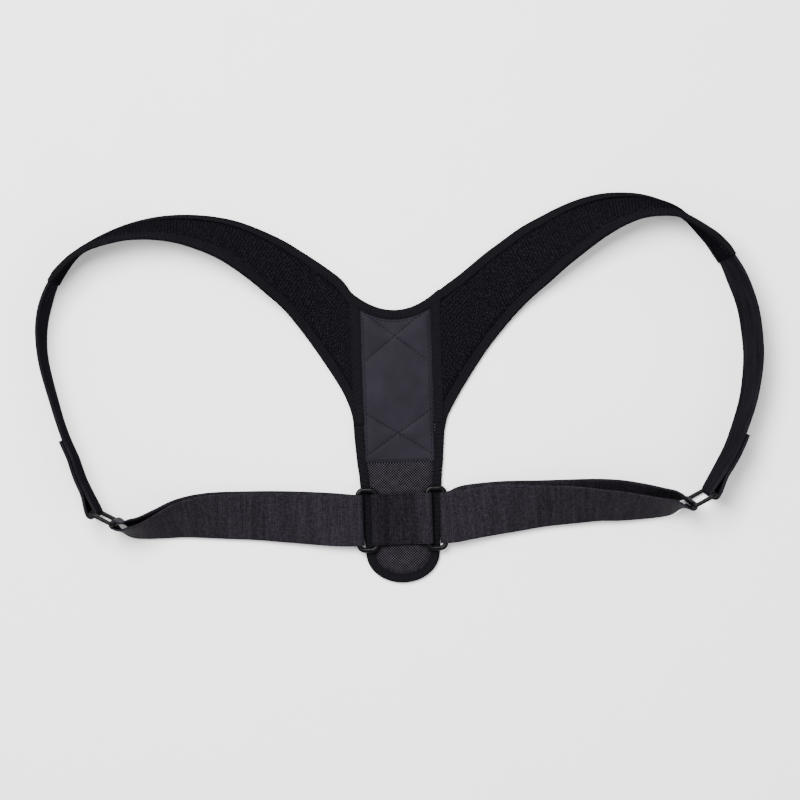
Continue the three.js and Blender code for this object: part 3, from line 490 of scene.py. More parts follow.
def panelPiece():
    tabLow = -yoke["tabDrop"]
    levels = np.concatenate([
        tabLow + 20.5 * (1 - np.cos(np.linspace(0.02, math.pi / 2, 24))),
        np.linspace(tabLow + 21.5, yoke["neckRise"], 190)])
    shares = np.linspace(-1, 1, panelLook["across"])
    half = panelHalf(levels) - 0.15
    x = half[:, None] * shares[None, :]
    lift = ease((levels - 50) / (yoke["neckRise"] - 50))[:, None]
    y = levels[:, None] + yoke["neckScoop"] * (x / yoke["panelHalfWidth"]) ** 2 * lift
    flat = np.stack([x, y, np.full(x.shape, midHeight)], -1).reshape(-1, 3)
    edge = np.minimum(distanceTo(flat, neckLine), distanceTo(flat, hemLine)).reshape(x.shape)
    thin = seatThickness / 2 - 0.05
    rise = ease((edge - tape["reach"] - 0.1) / 2.4)
    top = thin + (midHeight - thin) * rise
    tabZone = ease((-10 - y) / 10)
    top = top + panelLook["puff"] * tabZone * ease((edge - 7) / 8)
    bandZone = ease((panelLook["bandHalf"] - np.abs(y + webbing["drop"])) / 3)
    top = top - bandZone * (panelLook["puff"] + panelLook["bandSink"]) * ease((edge - 5) / 4)
    dents = ripple(flat, panelLook["dentSize"], 21).reshape(x.shape)
    top = top + panelLook["dent"] * dents * tabZone * ease((edge - 7) / 5) * (1 - bandZone)
    low = -(thin + (midHeight - thin) * rise)
    upper = np.stack([x, y, midHeight + top], -1)
    lower = np.stack([x, y, np.maximum(midHeight + low, 0.03)], -1)
    rings = np.concatenate([upper, lower[:, ::-1]], 1)
    across = shares * yoke["panelHalfWidth"]
    around = np.concatenate([across, across[-1] + 2 + (across - across[0]), [across[-1] + 4 + 65]])
    piece = ringsPiece("panelSpine", rings, levels, around, paired=True)
    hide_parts("back_panel")


def necklineAt(x):
    return yoke["neckRise"] + yoke["neckScoop"] * (x / yoke["panelHalfWidth"]) ** 2


def stripWaver(y):
    return stripLook["waver"] * np.sin(y / stripLook["waverRun"])


def stripPiece(sign):
    # tape sewn over the seam between panel and pad
    inner, outer = stripLook["inner"], stripLook["outer"]
    low, high = stripLook["bottom"], stripLook["top"]
    section = [(outer, low), (outer, high - 0.3), (outer - 0.25, high - 0.06), (outer - 0.7, high)]
    section += [(x, high + 0.05 * math.sin(x * 2.1))
                for x in np.linspace(outer - 1.2, inner + 1.2, 8)]
    section += [(inner + 0.7, high), (inner + 0.25, high - 0.06), (inner, high - 0.3), (inner, low)]
    section = np.array(section)
    shares = np.linspace(0, 1, 90)
    run = necklineAt(section[:, 0]) - stripLook["topInset"] - stripLook["foot"]
    y = stripLook["foot"] + run[None, :] * shares[:, None]
    x = np.tile(sign * section[:, 0], (len(shares), 1)) + sign * stripWaver(y)
    wave = np.sin(2 * math.pi * y / stripLook["puckerStep"])
    pucker = stripLook["pucker"] * wave * (section[:, 1] > high - 0.2)
    rings = np.stack([x, y, np.tile(section[:, 1], (len(shares), 1)) + pucker], -1)
    name = "stripSeam" + ("Left" if sign < 0 else "Right")
    length = float(np.median(y[-1] - y[0]))
    ringsPiece(name, rings, shares * length, aroundOf(section))


panelPiece()
for sign in sideSign.values():
    stripPiece(sign)
print("back panel shaped")


# the patch: two sewn crosses with a raised field between them

patchLook = {
    "half": 25.6, "foot": -12.7, "topMiddle": 93.4, "topRise": 7.4, "base": 4.9,
    "sewnHeight": 5.6, "field": 0.85, "side": 0.42, "border": 1.6, "corner": 2.0,
    "seams": [((-18.5, 95.2), (25.6, 60.4)), ((19.6, 97.4), (-25.6, 61.2)),
              ((-25.6, 24.9), (25.6, -7.9)), ((25.9, 26.4), (-25.6, -8.1))],
}


def patchTop(x):
    return patchLook["topMiddle"] + patchLook["topRise"] * (x / patchLook["half"]) ** 2


def patchHeight(x, y):
    flat = np.stack([x, y, np.zeros(x.shape)], -1).reshape(-1, 3)
    seam = np.full(len(flat), 1e9)
    for a, b in patchLook["seams"]:
        line = np.array([[*a, 0.0], [*b, 0.0]])
        seam = np.minimum(seam, distanceTo(flat, line))
    seam = seam.reshape(x.shape)
    side = patchLook["half"] - np.abs(x)
    ends = np.minimum(y - patchLook["foot"], patchTop(x) - y)
    border = np.minimum(side, ends)
    field = ease((y - 8) / 22) * ease((78 - y) / 18)
    puff = patchLook["side"] + (patchLook["field"] - patchLook["side"]) * field
    inward = np.maximum(border - patchLook["border"], 0)
    cushion = (1 - np.exp(-seam / 5.5)) * (1 - np.exp(-inward / 5))
    dents = ripple(flat, 17, 30).reshape(x.shape)
    height = patchLook["sewnHeight"] + puff * cushion * (1 + 0.35 * dents)
    fromBorder = border - patchLook["border"]
    groove = 0.28 * np.exp(-(seam / 0.55) ** 2) + 0.22 * np.exp(-(fromBorder / 0.5) ** 2)
    roll = 0.9 * np.exp(-border / 0.35)
    tuck = 0.1 * np.sin(2 * math.pi * (x + y) / 5.2) * np.exp(-seam / 2.5)
    return height - groove - roll + tuck * ease(border / 2)


def patchPiece():
    shares = np.concatenate([[-1, -0.993], np.linspace(-0.98, 0.98, 84), [0.993, 1]])
    levels = np.concatenate([[0, 0.003], np.linspace(0.01, 0.99, 168), [0.997, 1]])
    x = np.tile(shares * patchLook["half"], (len(levels), 1))
    y = patchLook["foot"] + levels[:, None] * (patchTop(x) - patchLook["foot"])
    corner = patchLook["corner"]
    short = np.maximum(corner - (y - patchLook["foot"]), 0)
    inset = corner - np.sqrt(np.maximum(corner ** 2 - short ** 2, 0))
    x = x * (1 - inset / patchLook["half"])
    upper = np.stack([x, y, patchHeight(x, y)], -1)
    lower = np.stack([x, y, np.full(x.shape, patchLook["base"])], -1)
    rings = np.concatenate([upper, lower[:, ::-1]], 1)
    across = shares * patchLook["half"]
    around = np.concatenate([across, across[-1] + 1 + (across - across[0]), [across[-1] + 54]])
    piece = ringsPiece("patchSpine", rings, levels * 110, around, paired=True)
    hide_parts("centre_patch")


patchPiece()
print("patch shaped")


# folded bindings

# fold is the tape's width round the edge, between its two laps
bindingLook = {"drift": 0.14, "driftSize": 9, "endLength": 8.0, "endShare": 0.74, "fold": 7.2}


def bindingPiece(name, line, normals, inward, node, seed):
    section = bindingSection(fine=True)
    travel = travelOf(line)
    across = inward * unit(np.cross(normals, travel))
    at = lengthsOf(line)
    toEnd = np.minimum(at, at[-1] - at)
    flatten = 1 - (1 - bindingLook["endShare"]) * ease(1 - toEnd / bindingLook["endLength"])
    rings = np.array([laid(section * [1, f], p, a, n)
                      for p, a, n, f in zip(line, across, normals, flatten)])
    drift = ripple(line, bindingLook["driftSize"], seed)
    lip = np.clip(section[:, 0] / tape["reach"], 0, 1) ** 2
    sideways = (lip * bindingLook["drift"] * 1.6)[None, :, None]
    rings = rings + (across * drift[:, None])[:, None] * sideways
    lift = ripple(line, bindingLook["driftSize"] * 0.6, seed + 1)
    upward = (lip * np.sign(section[:, 1]) * bindingLook["drift"] * 0.6)[None, :, None]
    rings = rings + (normals * lift[:, None])[:, None] * upward
    rings[..., 2] = np.maximum(rings[..., 2], 0.0)
    piece = ringsPiece(name, rings, at, aroundOf(section))
    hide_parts(node)
    return across


neckAcross = bindingPiece("bindingNeck", neckLine, neckNormals, -1, "neck_binding", 41)
hemAcross = bindingPiece("bindingHem", hemLine, hemNormals, 1, "hem_binding", 51)
print("bindings folded")


# woven bands: a flat section with rounded selvedges, swept along its run

def bandSection(width, thickness, across=18):
    w, t = width / 2, thickness / 2
    r = t * 0.85
    top = [(x, t + 0.05 * math.exp(-((w - 1.6 - abs(x)) / 0.6) ** 2))
           for x in np.linspace(w - r, r - w, across)]
    left = [(r - w - r * math.sin(a), t * math.cos(a)) for a in np.linspace(0, math.pi, 7)[1:-1]]
    bottom = [(-x, -y) for x, y in top]
    right = [(-x, -y) for x, y in left]
    return np.array(top + left + bottom + right)


def resample(points, fields, step):
    # stations about one step apart, with their direction fields carried along
    at = lengthsOf(points)
    count = max(8, int(at[-1] / step))
    want = np.linspace(0, at[-1], count + 1)

    def carry(values):
        return np.stack([np.interp(want, at, values[:, k]) for k in range(values.shape[1])], 1)

    return carry(points), [unit(carry(f)) for f in fields], want


def bandPiece(name, points, across, through, width, thickness, closedRun, look, seed):
    if closedRun:
        points = np.vstack([points, points[:1]])
        across = np.vstack([across, across[:1]])
        through = np.vstack([through, through[:1]])
    points, (across, through), at = resample(points, [across, through], look["step"])
    section = bandSection(width, thickness)
    rings = np.array([laid(section, p, a, n) for p, a, n in zip(points, across, through)])
    side = np.sign(section[:, 1])
    rib = look["rib"] * np.sin(2 * math.pi * at / look["ribStep"])
    flatness = np.clip(1.2 - np.abs(section[:, 0]) / (width / 2), 0, 1)
    ribbed = rib[:, None] * (side * np.minimum(flatness * 4, 1))[None, :]
    rings = rings + through[:, None] * ribbed[..., None]
    sway = ripple(points, look["swaySize"], seed)
    edge = (np.abs(section[:, 0]) / (width / 2)) ** 3 * np.sign(section[:, 0])
    other = ripple(points + 40, look["swaySize"], seed + 5)
    fade = np.ones(len(at)) if not closedRun else ease(np.minimum(at, at[-1] - at) / 6)
    apart = sway[:, None] * (edge > 0) + other[:, None] * (edge < 0)
    bend = look["sway"] * fade[:, None] * apart * np.abs(edge)
    rings = rings + through[:, None] * bend[..., None]
    if closedRun:
        rings = rings[:-1]
    rings[..., 2] = np.maximum(rings[..., 2], 0.02)
    piece = ringsPiece(name, rings, at, aroundOf(section), closedRun)
    return piece, {"points": points, "across": across, "through": through, "at": at}


def turnRound(bar, start, ahead, across, radius, steps=16):
    points, throughs = [], []
    for i in range(1, steps):
        angle = i / steps * math.pi
        through = start * math.cos(angle) + ahead * math.sin(angle)
        points.append(bar + through * radius)
        throughs.append(through)
    return np.array(points), np.tile(across, (steps - 1, 1)), np.array(throughs)


webbingLook = {"step": 0.6, "rib": 0.035, "ribStep": 2.4, "sway": 0.22, "swaySize": 22}


def sideWebbing(side):
    sign, ring = sideSign[side], ringFrames[side]
    loopEnd = np.array([sign * loopBarOuter, -webbing["drop"], loopHeight])
    seat = ring["middle"][2] - webbing["width"] / 2
    lifted = loopHeight - loopTurn - webbing["thickness"] / 2 - fit
    start = (0, 1, 0, loopTurn, 0, 1, 0)
    finish = (1, -ring["webbingBar"][1] / webbing["drop"], 90, ringTurn, 0, 0, 1)
    rows = smoothRun([start, *webbingRows[side], finish], 8)
    alongs, drop, roll, split, skew, tab, near = rows.T
    roll = np.radians(roll)
    rest = fit + (split + webbing["thickness"] / 2) * np.cos(roll)
    z = rest + webbing["width"] / 2 * np.sin(roll) + tab * lifted + near * (seat - fit)
    x = loopEnd[0] + alongs * (ring["webbingBar"][0] - loopEnd[0])
    mid = np.stack([x, -drop * webbing["drop"], z], 1)
    mid[0], mid[-1] = loopEnd, ring["webbingBar"]
    travel = travelOf(mid)
    travel[0] = [sign, 0, 0]
    north = sign * unit(np.cross(np.tile(up, (len(mid), 1)), travel) * np.array([1, 1, 0]))
    tilted = north * np.cos(roll)[:, None] + up * np.sin(roll)[:, None]
    swing = (near ** 6)[:, None]
    across = unit(tilted * (1 - swing) + ring["rise"] * swing)
    through = sign * unit(np.cross(travel, across))
    front = mid + through * split[:, None]
    rear = mid - through * split[:, None] + across * skew[:, None]
    ahead = sign * unit(np.cross(across[-1], through[-1]))
    ringRound = turnRound(ring["webbingBar"], through[-1], ahead, across[-1], ringTurn)
    loopRound = turnRound(loopEnd, -through[0], -travel[0], across[0], loopTurn)
    points = np.vstack([front, ringRound[0], rear[::-1], loopRound[0]])
    acrosses = np.vstack([across, ringRound[1], across[::-1], loopRound[1]])
    throughs = np.vstack([through, ringRound[2], -through[::-1], loopRound[2]])
    piece, band = bandPiece("webbingSide" + side.title(), points, acrosses, throughs,
                            webbing["width"], webbing["thickness"], True,
                            webbingLook, 60 + sign)
    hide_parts("side_webbing_" + side)


# the band's upper layer ends in a lap, at this x
lapLook = {"x": 10.0, "height": 0.75}


def crossBand():
    across = np.array([0.0, 1.0, 0.0])
    pressed = loopHeight + loopTurn - (bandBase + webbing["thickness"] + fit)
    rows = smoothRun(bandPress, 8)
    x = rows[:, 0] * loopBarInner
    lap = lapLook["height"] * ease((x - lapLook["x"]) / 0.8) * ease((loopBarInner + 2 - x) / 4)
    z = loopHeight + loopTurn - rows[:, 1] * pressed + lap
    upper = np.stack([x, np.full(len(x), -webbing["drop"]), z], 1)
    share = np.linspace(1, -1, 20)
    lower = np.stack([share * loopBarInner, np.full(20, -webbing["drop"]),
                      np.full(20, bandBase)], 1)
    right, left = (
        turnRound(np.array([sign * loopBarInner, -webbing["drop"], loopHeight]), sign * up,
                  np.array([sign, 0.0, 0.0]), across, loopTurn) for sign in (1, -1))
    points = np.vstack([upper, right[0], lower, left[0]])
    throughs = np.vstack([np.tile(up, (len(upper), 1)), right[2], np.tile(-up, (20, 1)), left[2]])
    acrosses = np.tile(across, (len(points), 1))
    look = dict(webbingLook, step=0.4, sway=0.08)
    piece, band = bandPiece("bandCross", points, acrosses, throughs, webbing["width"],
                            webbing["thickness"], True, look, 70)
    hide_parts("cross_band")
    return {"x": x, "z": z + webbing["thickness"] / 2}


strapLook = {"step": 0.8, "rib": 0.02, "ribStep": 1.8, "sway": 0.2, "swaySize": 24}


def adjusterStrap(side):
    run, ring = runs[side], ringFrames[side]
    j = run["jointAt"]
    first = max(0, j - 8)
    points = run["mid"][first:].copy()
    across, through = run["across"][first:].copy(), run["through"][first:].copy()
    inside = np.sign(through @ run["inward"])
    through = through * np.sign(inside[-1])
    across[-1], through[-1] = ring["rise"], run["inward"]
    round_ = turnRound(ring["strapBar"], run["inward"], run["arrive"], ring["rise"], strapTurn)
    back = points[::-1]
    walked = lengthsOf(back)
    tailLength = strap["tail"][side]
    kept = walked <= tailLength
    easing = ease(np.minimum(walked, tailLength) / strap["tailEasing"])
    apart = 2 * strapTurn + (strap["thickness"] + fit - 2 * strapTurn) * easing
    tail = back - through[::-1] * apart[:, None]
    line = np.vstack([points, round_[0], tail[kept]])
    acrosses = np.vstack([across, round_[1], across[::-1][kept]])
    throughs = np.vstack([through, round_[2], -through[::-1][kept]])
    piece, band = bandPiece("strapAdjuster" + side.title(), line, acrosses, throughs,
                            webbing["width"], strap["thickness"], False,
                            strapLook, 80 + sideSign[side])
    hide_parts("adjuster_strap_" + side)
    return band


for side in sideSign:
    sideWebbing(side)
crossTop = crossBand()
strapBands = {side: adjusterStrap(side) for side in sideSign}
print("webbing, cross band and straps swept")


# moulded rings and loops

def mouldedFrame(name, middle, run, rise, halfRun, halfLength, corner, bar, node):
    normal = unit(np.cross(run, rise))
    path, angles = [], []
    cornerSteps, barSteps = 14, 10

    def onCorner(quarter, angle):
        signRun = 1 if quarter % 4 in (0, 3) else -1
        signRise = 1 if quarter % 4 < 2 else -1
        return (signRun * (halfRun - corner) + corner * math.cos(angle),
                signRise * (halfLength - corner) + corner * math.sin(angle))

    for quarter in range(4):
        for i in range(cornerSteps + 1):
            angle = (quarter + i / cornerSteps) * math.pi / 2
            path.append(onCorner(quarter, angle))
            angles.append(angle)
        lastAngle = (quarter + 1) * math.pi / 2
        a, b = path[-1], onCorner(quarter + 1, lastAngle)
        for i in range(1, barSteps):
            share = i / barSteps
            path.append((a[0] + (b[0] - a[0]) * share, a[1] + (b[1] - a[1]) * share))
            angles.append(lastAngle)
    sides = 24
    turn = np.linspace(0, 2 * math.pi, sides, endpoint=False)
    power = 0.82
    round_ = np.stack([np.sign(np.cos(turn)) * np.abs(np.cos(turn)) ** power,
                       np.sign(np.sin(turn)) * np.abs(np.sin(turn)) ** power], 1) * bar / 2 * 0.97
    flash = 0.05 * np.exp(-(np.sin(turn) / 0.16) ** 2)[:, None]
    section = round_ + flash * np.stack([np.cos(turn), np.zeros(sides)], 1)
    rings = np.array([
        laid(section, middle + run * a + rise * b, run * math.cos(t) + rise * math.sin(t), normal)
        for (a, b), t in zip(path, angles)])
    along = lengthsOf(rings.mean(1))
    along = np.append(along, along[-1] + 1.5)
    piece = ringsPiece(name, rings, along, aroundOf(section), closedRun=True)
    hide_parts(node)


for side in sideSign:
    ring = ringFrames[side]
    mouldedFrame("ringStrap" + side.title(), ring["middle"], ring["run"], ring["rise"],
                 ring["halfRun"], ring["halfLength"], ringPart["corner"], ringPart["bar"],
                 "strap_ring_" + side)
    middle = np.array([sideSign[side] * loopPart["middle"], -webbing["drop"], loopHeight])
    mouldedFrame("loopWebbing" + side.title(), middle, np.array([1.0, 0, 0]), np.array([0, 1.0, 0]),
                 (loopPart["outerWidth"] - loopPart["bar"]) / 2,
                 webbing["width"] / 2 + loopPart["endClearance"] + loopPart["bar"] / 2,
                 loopPart["corner"], loopPart["bar"], "webbing_loop_" + side)
print("rings and loops moulded")


# sewing: short arched threads, one mesh for each row of sewing

threadLook = {"length": 2.5, "gap": 0.75, "radius": 0.27, "arch": 0.16, "sink": 0.08}


def threadTemplate():
    rings, sides = 6, 6
    points, faces = [], []
    for i in range(rings):
        t = i / (rings - 1)
        swell = math.sin(math.pi * min(max(t, 0.03), 0.97)) ** 0.4
        for k in range(sides):
            a = 2 * math.pi * k / sides
            points.append((t - 0.5, math.cos(a) * swell, math.sin(a) * swell + 4 * t * (1 - t)))
    for i in range(rings - 1):
        for k in range(sides):
            m = (k + 1) % sides
            faces.append((i * sides + k, (i + 1) * sides + k, (i + 1) * sides + m, i * sides + m))
    faces.append(tuple(reversed(range(sides))))
    faces.append(tuple(range((rings - 1) * sides, rings * sides)))
    return np.array(points), faces


thread = threadTemplate()


def pointAt(values, at, where):
    return np.array([np.interp(where, at, values[:, k]) for k in range(3)])


def sewRows(name, rows):
    # each row is (points on the cloth, normals)
    points, faces, uv = [], [], []
    shape, shapeFaces = thread
    look = threadLook
    arch = 4 * (shape[:, 0] + 0.5) * (0.5 - shape[:, 0])
    local = shape * np.array([look["length"], look["radius"], 1])
    height = (shape[:, 2] - arch) * look["radius"] + look["arch"] * arch - look["sink"]
    for line, normals in rows:
        line = np.asarray(line, float)
        normals = np.asarray(normals, float)
        at = lengthsOf(line)
        pitch = look["length"] + look["gap"]
        count = int(at[-1] / pitch)
        for s in range(count):
            mid = (s + 0.5) * pitch + random.uniform(-0.12, 0.12)
            here, ahead, back = (pointAt(line, at, mid + step) for step in (0, 0.6, -0.6))
            n = unit(pointAt(normals, at, mid))
            t = unit(ahead - back)
            n = unit(n - t * (n @ t))
            b = np.cross(n, t)
            skew = math.radians(random.uniform(-5, 5))
            t, b = t * math.cos(skew) + b * math.sin(skew), b * math.cos(skew) - t * math.sin(skew)
            base = len(points)
            for p, h in zip(local, height):
                points.append(here + t * p[0] + b * p[1] + n * h)
            for f in shapeFaces:
                faces.append(tuple(base + v for v in f))
                uv.append(tuple((shape[v, 0] * look["length"], shape[v, 1]) for v in f))
    return finishMesh(name, points, faces, uv)


def bindingRows(line, normals, across, depth, height):
    upper = line + across * depth + normals * height
    lower = line + across * depth - normals * height
    above = lower[:, 2] > 0.5
    rows = [(upper, normals)]
    starts = np.where(above & ~np.concatenate([[False], above[:-1]]))[0]
    stops = np.where(above & ~np.concatenate([above[1:], [False]]))[0]
    for a, b in zip(starts, stops):
        if b - a > 4:
            rows.append((lower[a:b + 1], -normals[a:b + 1]))
    return rows


bindingTop = seatThickness / 2 + seatFit + tape["thickness"] - 0.06
bindingSeam = tape["reach"] - 1.6
stitches = [
    sewRows("sewingNeck",
            bindingRows(neckLine, neckNormals, neckAcross, bindingSeam, bindingTop)),
    sewRows("sewingHem", bindingRows(hemLine, hemNormals, hemAcross, bindingSeam, bindingTop)),
]


def patchSewing():
    rows = []
    for a, b in patchLook["seams"]:
        a, b = np.array(a), np.array(b)
        share = np.linspace(0.01, 0.99, 60)[:, None]
        line = a + (b - a) * share
        z = patchHeight(line[:, 0], line[:, 1])
        rows.append(upRow(np.column_stack([line, z])))
    inset = patchLook["border"]
    half, foot = patchLook["half"] - inset, patchLook["foot"] + inset
    xs = np.linspace(-half, half, 60)
    tops = patchTop(xs) - inset
    left = np.column_stack([np.full(60, -half), np.linspace(foot, tops[0], 60)])
    right = np.column_stack([np.full(60, half), np.linspace(foot, tops[-1], 60)])
    bottom = np.column_stack([xs, np.full(60, foot)])
    top = np.column_stack([xs, tops])
    for line in (left, right, bottom, top):
        z = patchHeight(line[:, 0], line[:, 1]) + 0.03
        rows.append(upRow(np.column_stack([line, z])))
    return rows


stitches.append(sewRows("sewingPatch", patchSewing()))


def panelSewing():
    rows = []
    for sign in (-1, 1):
        for x in (stripLook["inner"] + stripLook["seamInset"],
                  stripLook["outer"] - stripLook["seamInset"]):
            y = np.linspace(necklineAt(x) - 8.2, stripLook["foot"] + 1.5, 60)
            line = np.column_stack([sign * x + sign * stripWaver(y), y,
                                    np.full(60, stripLook["top"] - 0.02)])
            rows.append(upRow(line))
    return rows


stitches.append(sewRows("sewingPanel", panelSewing()))


def crossSewing():
    order = np.argsort(crossTop["x"])
    xs, zs = crossTop["x"][order], crossTop["z"][order]

    def onBand(a, b):
        share = np.linspace(0, 1, 50)[:, None]
        line = np.array(a) + (np.array(b) - np.array(a)) * share
        z = np.interp(line[:, 0], xs, zs) + 0.09
        return upRow(np.column_stack([line, z]))

    # a box with a cross in it, a row beside the lap and one along each edge
    box = {"left": -10.5, "right": 9.3, "half": 15.6}
    beside, edge, edgeHalf = 11.4, 17.6, 17
    left, right = box["left"], box["right"]
    low, high = -webbing["drop"] - box["half"], -webbing["drop"] + box["half"]
    rows = [onBand((left, low), (left, high)), onBand((right, high), (right, low)),
            onBand((left, low), (right, low)), onBand((right, high), (left, high)),
            onBand((left, low), (right, high)), onBand((left, high), (right, low)),
            onBand((beside, low - 1.5), (beside, high + 1.5))]
    for y in (-webbing["drop"] - edge, -webbing["drop"] + edge):
        rows.append(onBand((-edgeHalf, y), (edgeHalf, y)))
    return rows


stitches.append(sewRows("sewingCross", crossSewing()))


def jointSewing():
    rows = []
    share = np.linspace(0.17, 0.83, 40)[:, None]
    for run in runs.values():
        # stations back from the joint, and the cloth's half thickness there
        for back, height in ((3, 1.62), (9, 2.0)):
            at = run["jointAt"] - back
            base = run["neck"][at] + (run["hole"][at] - run["neck"][at]) * share
            n = run["through"][at]
            for sign in (1, -1):
                rows.append((base + n * height * sign, np.tile(n * sign, (40, 1))))
    return rows


def strapSewing():
    rows = []
    for band in strapBands.values():
        last = band["at"][-1]
        for back in (3.0, 8.0):
            at = int(np.argmin(np.abs(band["at"] - (last - back))))
            share = np.linspace(-15.5, 15.5, 40)[:, None]
            n = band["through"][at]
            line = band["points"][at] + band["across"][at] * share + n * strap["thickness"] / 2
            rows.append((line, np.tile(n, (40, 1))))
    return rows


stitches.append(sewRows("sewingJoints", jointSewing()))
stitches.append(sewRows("sewingTails", strapSewing()))
print("seams sewn,", sum(len(s.data.polygons) for s in stitches), "faces of thread")


# finishes

def newFinish(name, colour, roughness, **extra):
    material = bpy.data.materials.new(name)
    material.use_nodes = True
    shader = material.node_tree.nodes["Principled BSDF"]
    shader.inputs["Base Color"].default_value = (*colour, 1)
    shader.inputs["Roughness"].default_value = roughness
    for key, value in extra.items():
        shader.inputs[key.replace("_", " ")].default_value = value
    return material, material.node_tree, shader


def place(tree, kind, settings=None, **values):
    node = tree.nodes.new(kind)
    for key, value in (settings or {}).items():
        setattr(node, key, value)
    for key, value in values.items():
        node.inputs[key.replace("_", " ")].default_value = value
    return node


def clothCoords(tree, scale=(1, 1, 1), turn=0.0):
    coords = place(tree, "ShaderNodeTexCoord")
    mapping = place(tree, "ShaderNodeMapping")
    mapping.inputs["Scale"].default_value = scale
    mapping.inputs["Rotation"].default_value = (0, 0, turn)
    tree.links.new(coords.outputs["UV"], mapping.inputs["Vector"])
    return mapping.outputs["Vector"]


def objectCoords(tree, scale):
    coords = place(tree, "ShaderNodeTexCoord")
    mapping = place(tree, "ShaderNodeMapping")
    mapping.inputs["Scale"].default_value = (scale, scale, scale)
    tree.links.new(coords.outputs["Object"], mapping.inputs["Vector"])
    return mapping.outputs["Vector"]


def bars(tree, vector, period, direction="X", distortion=0.0):
    wave = place(tree, "ShaderNodeTexWave", {"wave_type": "BANDS", "bands_direction": direction,
                                             "wave_profile": "SIN"},
                 Scale=0.31416 / period, Distortion=distortion, Detail=1.0)
    wave.inputs["Detail Scale"].default_value = 2.0
    tree.links.new(vector, wave.inputs["Vector"])
    return wave.outputs["Fac"]


def calc(tree, operation, a, b):
    node = place(tree, "ShaderNodeMath", {"operation": operation})
    for socket, value in zip(node.inputs, (a, b)):
        if isinstance(value, (int, float)):
            socket.default_value = value
        else:
            tree.links.new(value, socket)
    return node.outputs["Value"]


def mixOf(tree, a, shareA, b, shareB):
    return calc(tree, "ADD", calc(tree, "MULTIPLY", a, shareA), calc(tree, "MULTIPLY", b, shareB))


def speckle(tree, vector, scale, detail=2.0, rough=0.5):
    grain = place(tree, "ShaderNodeTexNoise", Scale=scale, Detail=detail, Roughness=rough)
    tree.links.new(vector, grain.inputs["Vector"])
    return grain.outputs["Fac"]


def ramp(tree, fac, stops):
    node = place(tree, "ShaderNodeValToRGB")
    while len(node.color_ramp.elements) < len(stops):
        node.color_ramp.elements.new(0.5)
    for element, (at, colour) in zip(node.color_ramp.elements, stops):
        element.position = at
        element.color = (*colour, 1)
    tree.links.new(fac, node.inputs["Fac"])
    return node.outputs["Color"]


def colourInto(tree, shader, fac, stops):
    tree.links.new(ramp(tree, fac, stops), shader.inputs["Base Color"])


def bumpInto(tree, shader, height, distance, strength):
    bump = place(tree, "ShaderNodeBump", Strength=strength, Distance=distance)
    tree.links.new(height, bump.inputs["Height"])
    tree.links.new(bump.outputs["Normal"], shader.inputs["Normal"])


def spacerMesh():
    # knitted mesh: staggered small holes with a soft, uneven nap
    material, tree, shader = newFinish("spacerMesh", (0.004, 0.0038, 0.005), 0.9,
                                       Specular_IOR_Level=0.0)
    cloth = clothCoords(tree)
    a = bars(tree, cloth, 2.3, "X", 1.6)
    b = bars(tree, cloth, 1.9, "Y", 1.6)
    holes = calc(tree, "MULTIPLY", a, b)
    nap = speckle(tree, objectCoords(tree, 1000), 0.8, 2.0, 0.6)
    mixed = mixOf(tree, holes, 0.22, nap, 0.78)
    colourInto(tree, shader, mixed, [
        (0.28, (0.0014, 0.0013, 0.0019)), (0.46, (0.0033, 0.0032, 0.0043)),
        (0.66, (0.0096, 0.0093, 0.0118))])
    bumpInto(tree, shader, mixed, 0.0005, 0.9)
    return material


def ballisticNylon():
    # coarse basket weave laid on the bias
    material, tree, shader = newFinish("ballisticNylon", (0.012, 0.0105, 0.0135), 0.7,
                                       Specular_IOR_Level=0.01)
    spot = objectCoords(tree, 1000)
    a = bars(tree, spot, 2.05, "X", 0.4)
    b = bars(tree, spot, 2.05, "Y", 0.4)
    over, under = calc(tree, "SUBTRACT", a, 0.5), calc(tree, "SUBTRACT", b, 0.5)
    weave = calc(tree, "MULTIPLY", calc(tree, "MULTIPLY", over, under), 2.0)
    weave = calc(tree, "ADD", weave, 0.5)
    grain = speckle(tree, spot, 0.3, 2.0)
    mixed = mixOf(tree, weave, 0.75, grain, 0.25)
    colourInto(tree, shader, mixed, [
        (0.29, (0.0003, 0.0003, 0.0004)), (0.5, (0.0045, 0.0038, 0.0054)),
        (0.72, (0.036, 0.0306, 0.0389))])
    bumpInto(tree, shader, mixed, 0.0004, 0.9)
    return material


def coatedCloth():
    # smooth coated patch with a faint pebble and cloudy tone
    material, tree, shader = newFinish("coatedCloth", (0.0095, 0.009, 0.012), 0.5,
                                       Specular_IOR_Level=0.03)
    spot = objectCoords(tree, 1000)
    pebble = speckle(tree, spot, 1.6, 4.0, 0.6)
    cloud = speckle(tree, spot, 0.06, 2.0)
    colourInto(tree, shader, mixOf(tree, pebble, 0.35, cloud, 0.65),
               [(0.35, (0.0072, 0.0064, 0.0094)), (0.65, (0.0112, 0.0101, 0.0144))])
    bumpInto(tree, shader, pebble, 0.00012, 0.7)
    return material


def ribbedTape():
    # binding tape: close ribs across its length
    material, tree, shader = newFinish("ribbedTape", (0.005, 0.0047, 0.006), 0.85,
                                       Specular_IOR_Level=0.0)
    cloth = clothCoords(tree)
    ribs = bars(tree, cloth, 0.95, "X", 0.4)
    nap = speckle(tree, objectCoords(tree, 1000), 0.9, 3.0, 0.65)
    mixed = mixOf(tree, ribs, 0.5, nap, 0.5)
    colourInto(tree, shader, mixed, [
        (0.3, (0.0009, 0.0008, 0.0012)), (0.5, (0.0033, 0.0031, 0.0041)),
        (0.7, (0.0108, 0.0101, 0.0123))])
    bumpInto(tree, shader, mixed, 0.0003, 0.8)
    return material


